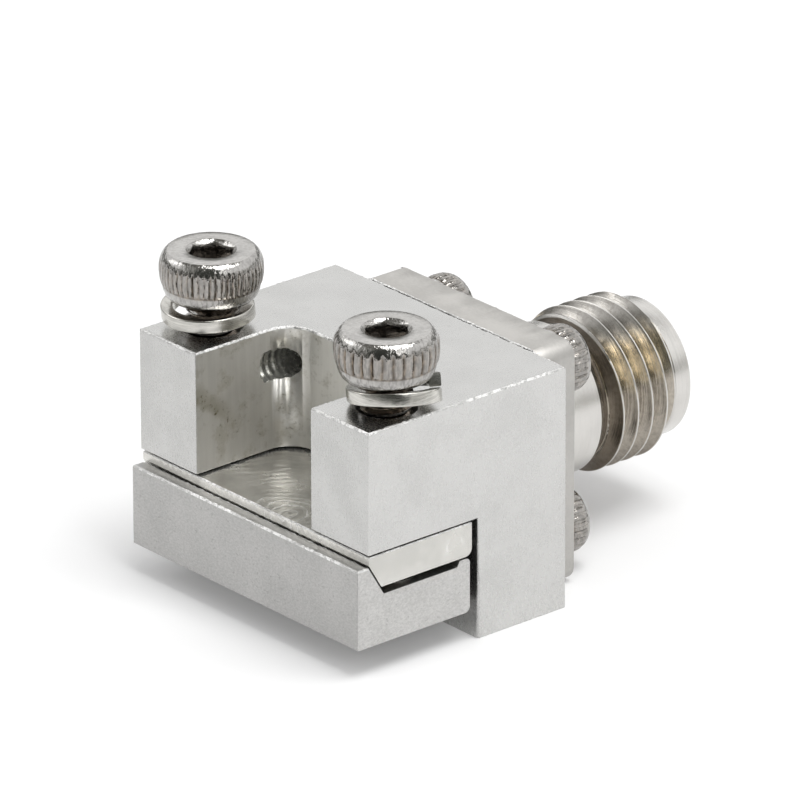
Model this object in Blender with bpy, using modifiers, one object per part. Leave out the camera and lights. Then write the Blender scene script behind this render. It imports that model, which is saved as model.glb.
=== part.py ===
"""Clamp-on edge-mount coaxial connector, jack type, with each piece as its own solid.

X runs across the two ears, +Y along the coaxial axis towards the threaded jack, and +Z up.
The origin is the middle of the housing's foot, on the surface that it stands on.
"""

import math

import bmesh
import bpy
from mathutils import Matrix, Vector

MM = 0.001

# Clearances
TOUCH_GAP = 0.01 * MM
SEAT_GAP = 0.05 * MM
SLIDE_GAP = 0.15 * MM
EAR_TO_PLATE_GAP = 0.08 * MM
PLATE_TO_LIP_GAP = 0.08 * MM
PLATE_TO_WALL_GAP = 0.24 * MM
CLAMP_TO_WALL_GAP = 0.31 * MM
HEAD_TO_NECK_GAP = 0.33 * MM

# Housing: two ears in front of a wall that reaches down to the foot
HOUSING_WIDTH = 12.7 * MM
HOUSING_LENGTH = 9.3 * MM
EAR_UNDERSIDE = 4.73 * MM
EAR_HEIGHT = 4.72 * MM
EAR_WIDTH = 3.15 * MM
WALL_THICKNESS = 4.17 * MM
NOTCH_OVERHANG = 0.58 * MM
NOTCH_CORNER_RADIUS = 1.05 * MM
FOOT_CORNER_RADIUS = 0.12 * MM

# Plate below the ears, with an undercut front
PLATE_SETBACK = 0.06 * MM
PLATE_SIDE_INSET = 0.04 * MM
PLATE_THICKNESS = 1.3 * MM
PLATE_FACE_HEIGHT = 0.33 * MM
PLATE_SLOPE_RUN = 0.58 * MM
PLATE_CORNER_RADIUS = 0.3 * MM

# Clamp plate, whose front lip hooks under the plate's slope
CLAMP_SIDE_INSET = 0.06 * MM
CLAMP_REACH = 0.46 * MM
CLAMP_HEIGHT = 3.1 * MM
CLAMP_FLOOR_GAP = 0.3 * MM
CLAMP_LIP_LENGTH = 0.5 * MM
CLAMP_HEEL_RADIUS = 0.25 * MM
CLAMP_LIP_RADIUS = 0.2 * MM

# Clamp screws
CLAMP_SCREW_OFFSET = 0.075 * MM
CLAMP_SCREW_SETBACK = 2.15 * MM
CLAMP_SHANK_RADIUS = 0.95 * MM
CLAMP_SCREW_RECESS = 0.5 * MM
CLAMP_HEAD_RADIUS = 1.9 * MM
CLAMP_HEAD_HEIGHT = 1.8 * MM
CLAMP_SOCKET_ACROSS = 1.5 * MM
CLAMP_KNURLS = 30

# Spring washers. Each lies loose: cut is where it is split, lean its tilt about the axis, and slide
# how far it has slipped to one side, as shares of its slack round the screw.
WASHER_WALL = 0.44 * MM
WASHER_THICKNESS = 0.5 * MM
WASHER_SPRING = 0.5 * MM
WASHER_SLACK = 0.31 * MM
WASHER_CUT_ANGLE = math.radians(9)
WASHER_STEPS = 36
WASHER_POSES = {
    "left": {
        "cut": math.radians(139),
        "axis": Vector((0.76, -0.65, 0)),
        "lean": math.radians(5.5),
        "slide": Vector((-0.28, -0.33, 0)),
    },
    "right": {
        "cut": math.radians(45),
        "axis": Vector((-0.405, -0.914, 0)),
        "lean": math.radians(15.6),
        "slide": Vector((0.6, 0.55, 0)),
    },
}

# Jack, from its mating bore outwards
FLANGE_MARGIN = 1.725 * MM
FLANGE_BOTTOM = 0.05 * MM
FLANGE_THICKNESS = 1.66 * MM
FLANGE_CORNER_RADIUS = 0.6 * MM
JACK_LENGTH = 9.5 * MM
MATING_BORE_RADIUS = 2.3 * MM
MATING_DEPTH = 1.95 * MM
REFERENCE_STEP = 0.2 * MM
NOSE_WALL = 0.35 * MM
NOSE_CHAMFER = 0.18 * MM
THREAD_DEPTH = 0.45 * MM
THREAD_PITCH = 25.4 / 36 * MM
THREAD_TURNS = 4.5
THREAD_CREST_SHARE = 0.14
THREAD_FLANK_ANGLE = math.radians(30)
THREAD_RUN_OUT_SLOPE = 1.7
NECK_STEP = 0.22 * MM
NECK_LENGTH = 3.26 * MM
RELIEF_STEP = 0.15 * MM
RELIEF_LENGTH = 0.4 * MM
BARREL_FACETS = 48

# Contact, pin and insulators on the coaxial line
PIN_RADIUS = 0.25 * MM
PIN_TAB_RADIUS = 0.15 * MM
PIN_TAB_REACH = 1.25 * MM
PIN_STEP_DEPTH = 0.35 * MM
PIN_SOCKET_DEPTH = 1.6 * MM
CONTACT_NECK_WALL = 0.12 * MM
CONTACT_TAIL = 0.35 * MM
CONTACT_BORE_RADIUS = 0.47 * MM
CONTACT_WALL = 0.165 * MM
CONTACT_SLOT_WIDTH = 0.16 * MM
CONTACT_SLOT_DEPTH = 2.2 * MM
CONTACT_RECESS = 0.1 * MM
AIR_LINE_STEP = 0.16 * MM
LAUNCH_STEP = 0.27 * MM
LAUNCH_BORE_DEPTH = 1.6 * MM
LAUNCH_BEAD_LENGTH = 0.85 * MM
BEAD_LENGTH = 1.5 * MM
BEAD_POCKET_DEPTH = 1.1 * MM
BEAD_SLIT_WIDTH = 0.3 * MM
BEAD_TO_INSULATOR = 1.9 * MM

# Flange screws
FLANGE_SHANK_RADIUS = 0.57 * MM
FLANGE_SCREW_RECESS = 0.3 * MM
FLANGE_HEAD_RADIUS = 1.28 * MM
FLANGE_HEAD_HEIGHT = 1.3 * MM
FLANGE_SOCKET_ACROSS = 1.3 * MM
FLANGE_KNURLS = 24

# A knurled head's ridges and the round core that closes their grooves at both ends, each as
# (level, radius) shares of the head's height and largest radius
HEAD_RIDGES = ((0.26, 0.95), (0.62, 1.0), (0.93, 0.955))
HEAD_CORE = ((1.0, 0.87), (0.94, 0.915), (0.86, 0.87), (0.3, 0.87), (0.2, 0.9), (0.0, 0.83))
KNURL_ROOT = 0.93

# A head's hexagon socket: its floor as a share of the head's height, and its chamfer as shares of the
# hexagon's corner radius. The turns are how far each screw has been driven round.
SOCKET_FLOOR = 0.42
SOCKET_MOUTH = 1.12
SOCKET_CHAMFER = 0.3
CLAMP_SCREW_TURNS = {"left": math.radians(9), "right": math.radians(21)}
FLANGE_SCREW_TURN = math.radians(17)

# Ends of the holes
TAP_DEPTH = 6.2 * MM
DRILL_POINT_ANGLE = math.radians(59)

# Lengths along the coaxial line; the foot's middle is at zero
WALL_FRONT = -WALL_THICKNESS / 2
HOUSING_BACK = WALL_THICKNESS / 2
EAR_FRONT = HOUSING_BACK - HOUSING_LENGTH
NOTCH_BACK = WALL_FRONT - NOTCH_OVERHANG
PLATE_FRONT = EAR_FRONT + PLATE_SETBACK
PLATE_BACK = WALL_FRONT - PLATE_TO_WALL_GAP
CLAMP_FRONT = EAR_FRONT - CLAMP_REACH
CLAMP_BACK = WALL_FRONT - CLAMP_TO_WALL_GAP
LAUNCH_BORE_END = NOTCH_BACK + LAUNCH_BORE_DEPTH
BEAD_POCKET = HOUSING_BACK - BEAD_POCKET_DEPTH
BEAD_FRONT = BEAD_POCKET + SEAT_GAP
BEAD_BACK = BEAD_FRONT + BEAD_LENGTH
CONTACT_END = BEAD_FRONT - CONTACT_TAIL
FLANGE_FRONT = HOUSING_BACK + SEAT_GAP
FLANGE_BACK = FLANGE_FRONT + FLANGE_THICKNESS
JACK_END = FLANGE_FRONT + JACK_LENGTH
REFERENCE_PLANE = JACK_END - MATING_DEPTH

# Heights
HOUSING_HEIGHT = EAR_UNDERSIDE + EAR_HEIGHT
PLATE_TOP = EAR_UNDERSIDE - EAR_TO_PLATE_GAP
PLATE_BOTTOM = PLATE_TOP - PLATE_THICKNESS
PLATE_LIP = PLATE_TOP - PLATE_FACE_HEIGHT
CLAMP_TOP = PLATE_LIP - EAR_TO_PLATE_GAP
CLAMP_BOTTOM = CLAMP_TOP - CLAMP_HEIGHT
CLAMP_FLOOR = PLATE_BOTTOM - CLAMP_FLOOR_GAP
AXIS_HEIGHT = PLATE_TOP + PIN_TAB_RADIUS + SEAT_GAP

# Radii on the coaxial line
NOSE_RADIUS = MATING_BORE_RADIUS + NOSE_WALL
THREAD_RADIUS = NOSE_RADIUS + THREAD_DEPTH
NECK_RADIUS = THREAD_RADIUS - NECK_STEP
RELIEF_RADIUS = NOSE_RADIUS - RELIEF_STEP
JACK_BORE_RADIUS = MATING_BORE_RADIUS - REFERENCE_STEP
BEAD_RADIUS = JACK_BORE_RADIUS - SEAT_GAP
CONTACT_RADIUS = CONTACT_BORE_RADIUS + CONTACT_WALL
PIN_SOCKET_RADIUS = PIN_RADIUS + SEAT_GAP
CONTACT_NECK_RADIUS = PIN_SOCKET_RADIUS + CONTACT_NECK_WALL
AIR_LINE_RADIUS = CONTACT_NECK_RADIUS + AIR_LINE_STEP
LAUNCH_BORE_RADIUS = AIR_LINE_RADIUS + LAUNCH_STEP

# Places of the screws and sizes of their holes
NOTCH_WIDTH = HOUSING_WIDTH - 2 * EAR_WIDTH
CLAMP_SCREW_X = (HOUSING_WIDTH - EAR_WIDTH) / 2 + CLAMP_SCREW_OFFSET
CLAMP_SCREW_Y = EAR_FRONT + CLAMP_SCREW_SETBACK
CLEARANCE_RADIUS = CLAMP_SHANK_RADIUS + SLIDE_GAP
WASHER_INNER_RADIUS = CLAMP_SHANK_RADIUS + WASHER_SLACK
WASHER_OUTER_RADIUS = WASHER_INNER_RADIUS + WASHER_WALL


def washer_turn(pose):
    """Rotation that takes a flat washer, split at +X, to how it lies."""
    return Matrix.Rotation(pose["lean"], 4, pose["axis"]) @ Matrix.Rotation(pose["cut"], 4, "Z")


def washer_levels(pose):
    """Lowest and highest level of a washer as it lies, from its own middle."""
    levels = []
    for i in range(WASHER_STEPS + 1):
        part = i / WASHER_STEPS
        angle = -part * (2 * math.pi - WASHER_CUT_ANGLE)
        edge = Matrix.Rotation(angle, 4, "Z") @ Vector((WASHER_OUTER_RADIUS, 0, WASHER_SPRING * (part - 0.5)))
        for side in (-1, 1):
            face = Vector((0, 0, side * WASHER_THICKNESS / 2))
            levels.append((washer_turn(pose) @ (edge + face)).z)
    return min(levels), max(levels)


WASHER_LEVELS = {name: washer_levels(pose) for name, pose in WASHER_POSES.items()}
WASHER_RISE = max(highest - lowest for lowest, highest in WASHER_LEVELS.values())
HEAD_UNDERSIDE = HOUSING_HEIGHT + WASHER_RISE + 2 * TOUCH_GAP
CLAMP_SHANK_LENGTH = HEAD_UNDERSIDE - CLAMP_BOTTOM - CLAMP_SCREW_RECESS
FLANGE_SCREW_RADIUS = NECK_RADIUS + HEAD_TO_NECK_GAP + FLANGE_HEAD_RADIUS
FLANGE_SCREW_SPACING = FLANGE_SCREW_RADIUS * math.sqrt(2)
FLANGE_WIDTH = FLANGE_SCREW_SPACING + 2 * FLANGE_MARGIN
FLANGE_SHANK_LENGTH = FLANGE_BACK + SEAT_GAP - WALL_FRONT - FLANGE_SCREW_RECESS
TAP_RADIUS = FLANGE_SHANK_RADIUS + SEAT_GAP
TIP = 1 * MM

ALONG_X = Matrix.Rotation(math.radians(90), 4, "Z") @ Matrix.Rotation(math.radians(90), 4, "X")
ALONG_Y = Matrix.Rotation(math.radians(-90), 4, "X")
UPRIGHT_ACROSS = Matrix.Rotation(math.radians(90), 4, "X")
COAXIAL = Matrix.Translation((0, 0, AXIS_HEIGHT)) @ ALONG_Y


def clear_scene():
    for obj in list(bpy.data.objects):
        bpy.data.objects.remove(obj, do_unlink=True)


def new_collection(name):
    collection = bpy.data.collections.new(name)
    bpy.context.scene.collection.children.link(collection)
    return collection


def metal(name, colour, roughness, metallic=1.0):
    """A plain material in one finish."""
    material = bpy.data.materials.new(name)
    material.use_nodes = True
    shader = material.node_tree.nodes["Principled BSDF"]
    shader.inputs["Base Color"].default_value = (*colour, 1)
    shader.inputs["Roughness"].default_value = roughness
    shader.inputs["Metallic"].default_value = metallic
    return material


def add_object(name, mesh, place, collection, material=None):
    obj = bpy.data.objects.new(name, mesh)
    obj.matrix_world = place
    collection.objects.link(obj)
    if material:
        mesh.materials.append(material)
    return obj


def as_cutter(obj):
    obj.hide_render = True
    obj.display_type = "WIRE"
    return obj


def boolean(obj, operation, cutter):
    modifier = obj.modifiers.new(operation.title(), "BOOLEAN")
    modifier.operation = operation
    modifier.object = as_cutter(cutter)
    modifier.solver = "EXACT"


def lofted(name, rings, place, collection):
    """A closed solid through rings with as many points each, from the lowest to the highest."""
    form = bmesh.new()
    rows = [[form.verts.new(point) for point in ring] for ring in rings]
    for lower, upper in zip(rows, rows[1:]):
        for i in range(len(lower)):
            form.faces.new((lower[i - 1], lower[i], upper[i], upper[i - 1]))
    form.faces.new(rows[0])
    form.faces.new(rows[-1])
    bmesh.ops.recalc_face_normals(form, faces=form.faces)
    mesh = bpy.data.meshes.new(name)
    form.to_mesh(mesh)
    form.free()
    return add_object(name, mesh, place, collection)


def extruded(name, outline, thickness, place, collection, material=None):
    """A solid of one flat outline, extruded along its local Z, half to each side."""
    curve = bpy.data.curves.new(name, "CURVE")
    curve.dimensions = "2D"
    curve.fill_mode = "BOTH"
    curve.extrude = thickness / 2
    spline = curve.splines.new("POLY")
    spline.points.add(len(outline) - 1)
    for point, (x, y) in zip(spline.points, outline):
        point.co = (x, y, 0, 1)
    spline.use_cyclic_u = True
    guide = bpy.data.objects.new(name + "_outline", curve)
    bpy.context.scene.collection.objects.link(guide)
    guide.matrix_world = place
    bpy.context.view_layer.update()
    evaluated = guide.evaluated_get(bpy.context.evaluated_depsgraph_get())
    mesh = bpy.data.meshes.new_from_object(evaluated)
    form = bmesh.new()
    form.from_mesh(mesh)
    bmesh.ops.remove_doubles(form, verts=form.verts, dist=0.0001 * MM)
    bmesh.ops.recalc_face_normals(form, faces=form.faces)
    form.to_mesh(mesh)
    form.free()
    obj = add_object(name, mesh, guide.matrix_world.copy(), collection, material)
    bpy.data.objects.remove(guide, do_unlink=True)
    return obj


def turned(name, profile, facets, place, collection, material=None):
    """A solid turned about its local Z from (radius, height) points, listed from the top down.

    A profile that doesn't start on the axis is a closed ring.
    """
    mesh = bpy.data.meshes.new(name)
    points = [(radius, 0, height) for radius, height in profile]
    edges = [(i, i + 1) for i in range(len(points) - 1)]
    if profile[0][0] > 0:
        edges.append((len(points) - 1, 0))
    mesh.from_pydata(points, edges, [])
    obj = add_object(name, mesh, place, collection, material)
    modifier = obj.modifiers.new("Turn", "SCREW")
    modifier.steps = facets
    modifier.render_steps = facets
    modifier.use_merge_vertices = True
    modifier.merge_threshold = 0.001 * MM
    modifier.use_smooth_shade = True
    return obj


def rod(name, radius, bottom, top, facets, place, collection):
    """A plain round rod along its local Z."""
    return turned(name, [(0, top), (radius, top), (radius, bottom), (0, bottom)], facets, place, collection)


def bevel_edges(obj, chosen, width, segments):
    """Rounds the edges for which chosen(start, end) is true, in the object's local frame."""
    mesh = obj.data
    weights = mesh.attributes.new("bevel_weight_edge", "FLOAT", "EDGE")
    for edge in mesh.edges:
        start, end = (mesh.vertices[i].co for i in edge.vertices)
        weights.data[edge.index].value = 1.0 if chosen(start, end) else 0.0
    modifier = obj.modifiers.new("Rounded edges", "BEVEL")
    modifier.limit_method = "WEIGHT"
    modifier.width = width
    modifier.segments = segments
    modifier.use_clamp_overlap = True


def same(a, b):
    return abs(a - b) < MM / 1000


def upright(start, end):
    """True for an edge that stands along Z on a piece extruded along X."""
    return same(start.z, end.z) and same(start.x, end.x)


def arc(centre, radius, start, end, steps):
    """Points of an arc in degrees, both ends included."""
    angles = [math.radians(start + (end - start) * i / steps) for i in range(steps + 1)]
    return [(centre[0] + radius * math.cos(a), centre[1] + radius * math.sin(a)) for a in angles]


def rounded_rectangle(left, bottom, right, top, radius, steps):
    return (
        arc((right - radius, bottom + radius), radius, -90, 0, steps)
        + arc((right - radius, top - radius), radius, 0, 90, steps)
        + arc((left + radius, top - radius), radius, 90, 180, steps)
        + arc((left + radius, bottom + radius), radius, 180, 270, steps)
    )


def smooth_where_round(obj, angle=35):
    obj.data.shade_smooth()
    obj.data.set_sharp_from_angle(angle=math.radians(angle))


def clamp_screw_places():
    """Side and place of each clamp screw's axis, left first."""
    for side, name in ((-1, "left"), (1, "right")):
        yield name, Vector((side * CLAMP_SCREW_X, CLAMP_SCREW_Y, 0))


def flange_screw_places():
    """Name and place of each flange screw's axis, seen from the jack's end."""
    for side, side_name in ((-1, "left"), (1, "right")):
        for level, level_name in ((1, "upper"), (-1, "lower")):
            x = side * FLANGE_SCREW_SPACING / 2
            z = AXIS_HEIGHT + level * FLANGE_SCREW_SPACING / 2
            yield f"{level_name}_{side_name}", x, z


def notch_outline():
    """Plan of the notch between the ears, open past their front faces."""
    half = NOTCH_WIDTH / 2
    radius = NOTCH_CORNER_RADIUS
    back = NOTCH_BACK - radius
    return (
        [(-half, EAR_FRONT - TIP), (half, EAR_FRONT - TIP)]
        + arc((half - radius, back), radius, 0, 90, 8)
        + arc((-half + radius, back), radius, 90, 180, 8)
    )


def make_housing(parts, cutters, material):
    """One block: an L from the side, with the notch, screw holes and stepped coaxial bore cut in."""
    outline = [
        (EAR_FRONT, EAR_UNDERSIDE),
        (WALL_FRONT, EAR_UNDERSIDE),
        (WALL_FRONT, 0),
        (HOUSING_BACK, 0),
        (HOUSING_BACK, HOUSING_HEIGHT),
        (EAR_FRONT, HOUSING_HEIGHT),
    ]
    housing = extruded("housing", outline, HOUSING_WIDTH, ALONG_X, parts, material)
    bevel_edges(housing, lambda a, b: upright(a, b) and same(a.x, WALL_FRONT), FOOT_CORNER_RADIUS, 3)
    height = EAR_HEIGHT + 2 * TIP
    middle = (HOUSING_HEIGHT + EAR_UNDERSIDE) / 2
    notch = extruded("cut_notch", notch_outline(), height, Matrix.Translation((0, 0, middle)), cutters)
    boolean(housing, "DIFFERENCE", notch)
    for name, place in clamp_screw_places():
        hole = rod(
            "cut_ear_hole_" + name, CLEARANCE_RADIUS, EAR_UNDERSIDE - TIP, HOUSING_HEIGHT + TIP, 32,
            Matrix.Translation(place), cutters,
        )
        boolean(housing, "DIFFERENCE", hole)
    for name, x, z in flange_screw_places():
        point = HOUSING_BACK - TAP_DEPTH
        cone = TAP_RADIUS / math.tan(DRILL_POINT_ANGLE)
        profile = [
            (0, HOUSING_BACK + TIP),
            (TAP_RADIUS, HOUSING_BACK + TIP),
            (TAP_RADIUS, point),
            (0, point - cone),
        ]
        hole = turned(
            "cut_tapped_hole_" + name, profile, 24, Matrix.Translation((x, 0, z)) @ ALONG_Y, cutters
        )
        boolean(housing, "DIFFERENCE", hole)
    bore = turned(
        "cut_coaxial_bore",
        [
            (0, HOUSING_BACK + TIP),
            (BEAD_RADIUS + SEAT_GAP, HOUSING_BACK + TIP),
            (BEAD_RADIUS + SEAT_GAP, BEAD_POCKET),
            (AIR_LINE_RADIUS, BEAD_POCKET),
            (AIR_LINE_RADIUS, LAUNCH_BORE_END),
            (LAUNCH_BORE_RADIUS, LAUNCH_BORE_END),
            (LAUNCH_BORE_RADIUS, NOTCH_BACK - TIP),
            (0, NOTCH_BACK - TIP),
        ],
        32,
        COAXIAL,
        cutters,
    )
    boolean(housing, "DIFFERENCE", bore)
    smooth_where_round(housing)
    return housing


def slope_run(drop):
    """How far back the plate's undercut runs for a given drop below its lip."""
    return drop * PLATE_SLOPE_RUN / (PLATE_THICKNESS - PLATE_FACE_HEIGHT)


def make_support_plate(parts, cutters, material):
    """The plate under the ears, which carries the board: a short face, then an undercut slope."""
    radius = PLATE_CORNER_RADIUS
    outline = (
        [(PLATE_FRONT, PLATE_TOP), (PLATE_FRONT, PLATE_LIP), (PLATE_FRONT + PLATE_SLOPE_RUN, PLATE_BOTTOM)]
        + arc((PLATE_BACK - radius, PLATE_BOTTOM + radius), radius, -90, 0, 4)
        + [(PLATE_BACK, PLATE_TOP)]
    )
    width = HOUSING_WIDTH - 2 * PLATE_SIDE_INSET
    plate = extruded("support_plate", outline, width, ALONG_X, parts, material)
    for name, place in clamp_screw_places():
        hole = rod(
            "cut_plate_hole_" + name, CLEARANCE_RADIUS, PLATE_BOTTOM - TIP, PLATE_TOP + TIP, 32,
            Matrix.Translation(place), cutters,
        )
        boolean(plate, "DIFFERENCE", hole)
    smooth_where_round(plate)
    return plate


def make_clamp_plate(parts, cutters, material):
    """The lower clamp: a raised front lip with a slope that matches the plate, a floor and a rear lip."""
    lip_top = PLATE_BOTTOM - PLATE_TO_LIP_GAP
    lip_front = CLAMP_BACK - CLAMP_LIP_LENGTH
    land_end = PLATE_FRONT + slope_run(PLATE_LIP - CLAMP_TOP) - SEAT_GAP
    slope_end = PLATE_FRONT + slope_run(PLATE_LIP - CLAMP_FLOOR) - SEAT_GAP
    heel = CLAMP_HEEL_RADIUS
    lip = CLAMP_LIP_RADIUS
    outline = (
        [(CLAMP_FRONT, CLAMP_TOP), (CLAMP_FRONT, CLAMP_BOTTOM)]
        + arc((CLAMP_BACK - heel, CLAMP_BOTTOM + heel), heel, -90, 0, 4)
        + arc((CLAMP_BACK - lip, lip_top - lip), lip, 0, 90, 4)
        + [
            (lip_front, lip_top),
            (lip_front - (lip_top - CLAMP_FLOOR) / 2, CLAMP_FLOOR),
            (slope_end, CLAMP_FLOOR),
            (land_end, CLAMP_TOP),
        ]
    )
    width = HOUSING_WIDTH - 2 * CLAMP_SIDE_INSET
    clamp = extruded("clamp_plate", outline, width, ALONG_X, parts, material)
    for name, place in clamp_screw_places():
        hole = rod(
            "cut_clamp_thread_" + name, CLAMP_SHANK_RADIUS + SEAT_GAP, CLAMP_BOTTOM - TIP, CLAMP_TOP + TIP,
            32, Matrix.Translation(place), cutters,
        )
        boolean(clamp, "DIFFERENCE", hole)
    smooth_where_round(clamp)
    return clamp


def knurled_ring(radius, level, grooves):
    """A head's outline at one level: flat-topped ridges with a V groove between each pair."""
    ring = []
    for i in range(grooves):
        for part, share in ((-0.3, 1), (0.3, 1), (0.5, KNURL_ROOT)):
            angle = 2 * math.pi * (i + part) / grooves
            ring.append((radius * share * math.cos(angle), radius * share * math.sin(angle), level))
    return ring


def make_cap_screw(name, sizes, place, turn, parts, cutters, material):
    """A hexagon-socket cap screw standing on its local Z, its head's underside at height zero."""
    radius, height, shank, length, across, grooves, facets = sizes
    spin = place @ Matrix.Rotation(turn, 4, "Z")
    screw = turned(
        name,
        [
            (0, height),
            *((radius * share, height * level) for level, share in HEAD_CORE),
            (shank, 0),
            (shank, -length + shank * 0.3),
            (shank * 0.7, -length),
            (0, -length),
        ],
        facets,
        spin,
        parts,
        material,
    )
    rings = [knurled_ring(radius * share, height * level, grooves) for level, share in HEAD_RIDGES]
    knurl = lofted("add_knurl_" + name, rings, spin, cutters)
    boolean(screw, "UNION", knurl)
    corner = across / math.sqrt(3)
    socket_floor = height * SOCKET_FLOOR
    hexagon = arc((0, 0), corner, 0, 300, 5)
    depth = height - socket_floor + TIP
    middle = Matrix.Translation((0, 0, socket_floor + depth / 2))
    socket = extruded("cut_socket_" + name, hexagon, depth, spin @ middle, cutters)
    boolean(screw, "DIFFERENCE", socket)
    mouth = corner * SOCKET_MOUTH
    drop = corner * SOCKET_CHAMFER
    rise = TIP / 10
    top = height + rise
    profile = [(0, top), (mouth + rise, top), (mouth - drop, height - drop), (0, height - drop)]
    lead_in = turned("cut_lead_in_" + name, profile, 24, spin, cutters)
    boolean(screw, "DIFFERENCE", lead_in)
    smooth_where_round(screw, 25)
    return screw


def make_spring_washer(name, centre, pose, levels, parts, material):
    """A split washer: one turn of a left-hand helix, leaning between the ear and the screw's head."""
    form = bmesh.new()
    half = WASHER_THICKNESS / 2
    corner = WASHER_THICKNESS * 0.12
    section = [
        (WASHER_INNER_RADIUS, -half),
        (WASHER_OUTER_RADIUS - corner, -half),
        (WASHER_OUTER_RADIUS, -half + corner),
        (WASHER_OUTER_RADIUS, half - corner),
        (WASHER_OUTER_RADIUS - corner, half),
        (WASHER_INNER_RADIUS, half),
    ]
    face = form.faces.new([form.verts.new((radius, 0, z - WASHER_SPRING / 2)) for radius, z in section])
    bmesh.ops.spin(
        form,
        geom=[face],
        cent=(0, 0, 0),
        axis=(0, 0, -1),
        dvec=(0, 0, WASHER_SPRING / WASHER_STEPS),
        angle=2 * math.pi - WASHER_CUT_ANGLE,
        steps=WASHER_STEPS,
        use_duplicate=False,
    )
    bmesh.ops.recalc_face_normals(form, faces=form.faces)
    mesh = bpy.data.meshes.new(name)
    form.to_mesh(mesh)
    form.free()
    middle = (HOUSING_HEIGHT + HEAD_UNDERSIDE - sum(levels)) / 2
    seat = centre + pose["slide"] * WASHER_SLACK + Vector((0, 0, middle))
    washer = add_object(name, mesh, Matrix.Translation(seat) @ washer_turn(pose), parts, material)
    smooth_where_round(washer)
    return washer


def barrel_column(turn):
    """Radius and length along the axis of each point down one side of the barrel, a part turn round."""
    neck_end = FLANGE_BACK + NECK_LENGTH
    start = neck_end + RELIEF_LENGTH
    end = start + THREAD_PITCH * THREAD_TURNS
    crest = THREAD_PITCH * THREAD_CREST_SHARE / 2
    base = crest + THREAD_DEPTH * math.tan(THREAD_FLANK_ANGLE)
    column = [
        (0, FLANGE_BACK - FLANGE_THICKNESS / 2),
        (NECK_RADIUS, FLANGE_BACK - FLANGE_THICKNESS / 2),
        (NECK_RADIUS, neck_end),
        (RELIEF_RADIUS, neck_end + NECK_RADIUS - RELIEF_RADIUS),
        (RELIEF_RADIUS, start),
        (NOSE_RADIUS, start),
    ]
    for tooth in range(-1, math.ceil(THREAD_TURNS) + 1):
        middle = start + THREAD_PITCH * (tooth + turn + 0.5)
        for offset, depth in ((-base, 0), (-crest, THREAD_DEPTH), (crest, THREAD_DEPTH), (base, 0)):
            length = min(max(middle + offset, start), end)
            run_out = min(length - start, end - length) * THREAD_RUN_OUT_SLOPE
            column.append((NOSE_RADIUS + min(depth, run_out), length))
    column += [
        (NOSE_RADIUS, end),
        (NOSE_RADIUS, JACK_END - NOSE_CHAMFER),
        (NOSE_RADIUS - NOSE_CHAMFER, JACK_END),
        (0, JACK_END),
    ]
    return column


def threaded_barrel(name, cutters):
    """Neck, relief, thread and nose as one closed skin, whose rows of points climb with the thread."""
    form = bmesh.new()
    columns = []
    for i in range(BARREL_FACETS + 1):
        angle = 2 * math.pi * i / BARREL_FACETS
        columns.append(
            [
                form.verts.new((radius * math.cos(angle), radius * math.sin(angle), length))
                for radius, length in barrel_column(i / BARREL_FACETS)
            ]
        )
    for near, far in zip(columns, columns[1:]):
        for j in range(len(near) - 1):
            form.faces.new((near[j], far[j], far[j + 1], near[j + 1]))
    bmesh.ops.remove_doubles(form, verts=form.verts, dist=0.0001 * MM)
    bmesh.ops.recalc_face_normals(form, faces=form.faces)
    mesh = bpy.data.meshes.new(name)
    form.to_mesh(mesh)
    form.free()
    return add_object(name, mesh, COAXIAL, cutters)


def make_jack(parts, cutters, material):
    """Flange, neck, thread and nose in one piece, bored through for the insulator."""
    flange = extruded(
        "jack_body",
        rounded_rectangle(
            -FLANGE_WIDTH / 2, FLANGE_BOTTOM, FLANGE_WIDTH / 2, HOUSING_HEIGHT, FLANGE_CORNER_RADIUS, 5
        ),
        FLANGE_THICKNESS,
        Matrix.Translation((0, (FLANGE_FRONT + FLANGE_BACK) / 2, 0)) @ UPRIGHT_ACROSS,
        parts,
        material,
    )
    boolean(flange, "UNION", threaded_barrel("add_barrel", cutters))
    bore = turned(
        "cut_jack_bore",
        [
            (0, JACK_END + TIP),
            (MATING_BORE_RADIUS, JACK_END + TIP),
            (MATING_BORE_RADIUS, REFERENCE_PLANE),
            (JACK_BORE_RADIUS, REFERENCE_PLANE),
            (JACK_BORE_RADIUS, FLANGE_FRONT - TIP),
            (0, FLANGE_FRONT - TIP),
        ],
        BARREL_FACETS,
        COAXIAL,
        cutters,
    )
    boolean(flange, "DIFFERENCE", bore)
    for name, x, z in flange_screw_places():
        hole = rod(
            "cut_flange_hole_" + name, FLANGE_SHANK_RADIUS + SLIDE_GAP, FLANGE_FRONT - TIP, FLANGE_BACK + TIP,
            24, Matrix.Translation((x, 0, z)) @ ALONG_Y, cutters,
        )
        boolean(flange, "DIFFERENCE", hole)
    smooth_where_round(flange, 30)
    return flange


def make_insulator(parts, material):
    """The white insulator that holds the contact in the jack, flush with the reference plane."""
    hole = CONTACT_RADIUS + SEAT_GAP
    outer = JACK_BORE_RADIUS - SEAT_GAP
    bottom = BEAD_BACK + BEAD_TO_INSULATOR
    profile = [(hole, REFERENCE_PLANE), (outer, REFERENCE_PLANE), (outer, bottom), (hole, bottom)]
    return turned("jack_insulator", profile, 36, COAXIAL, parts, material)


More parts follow.
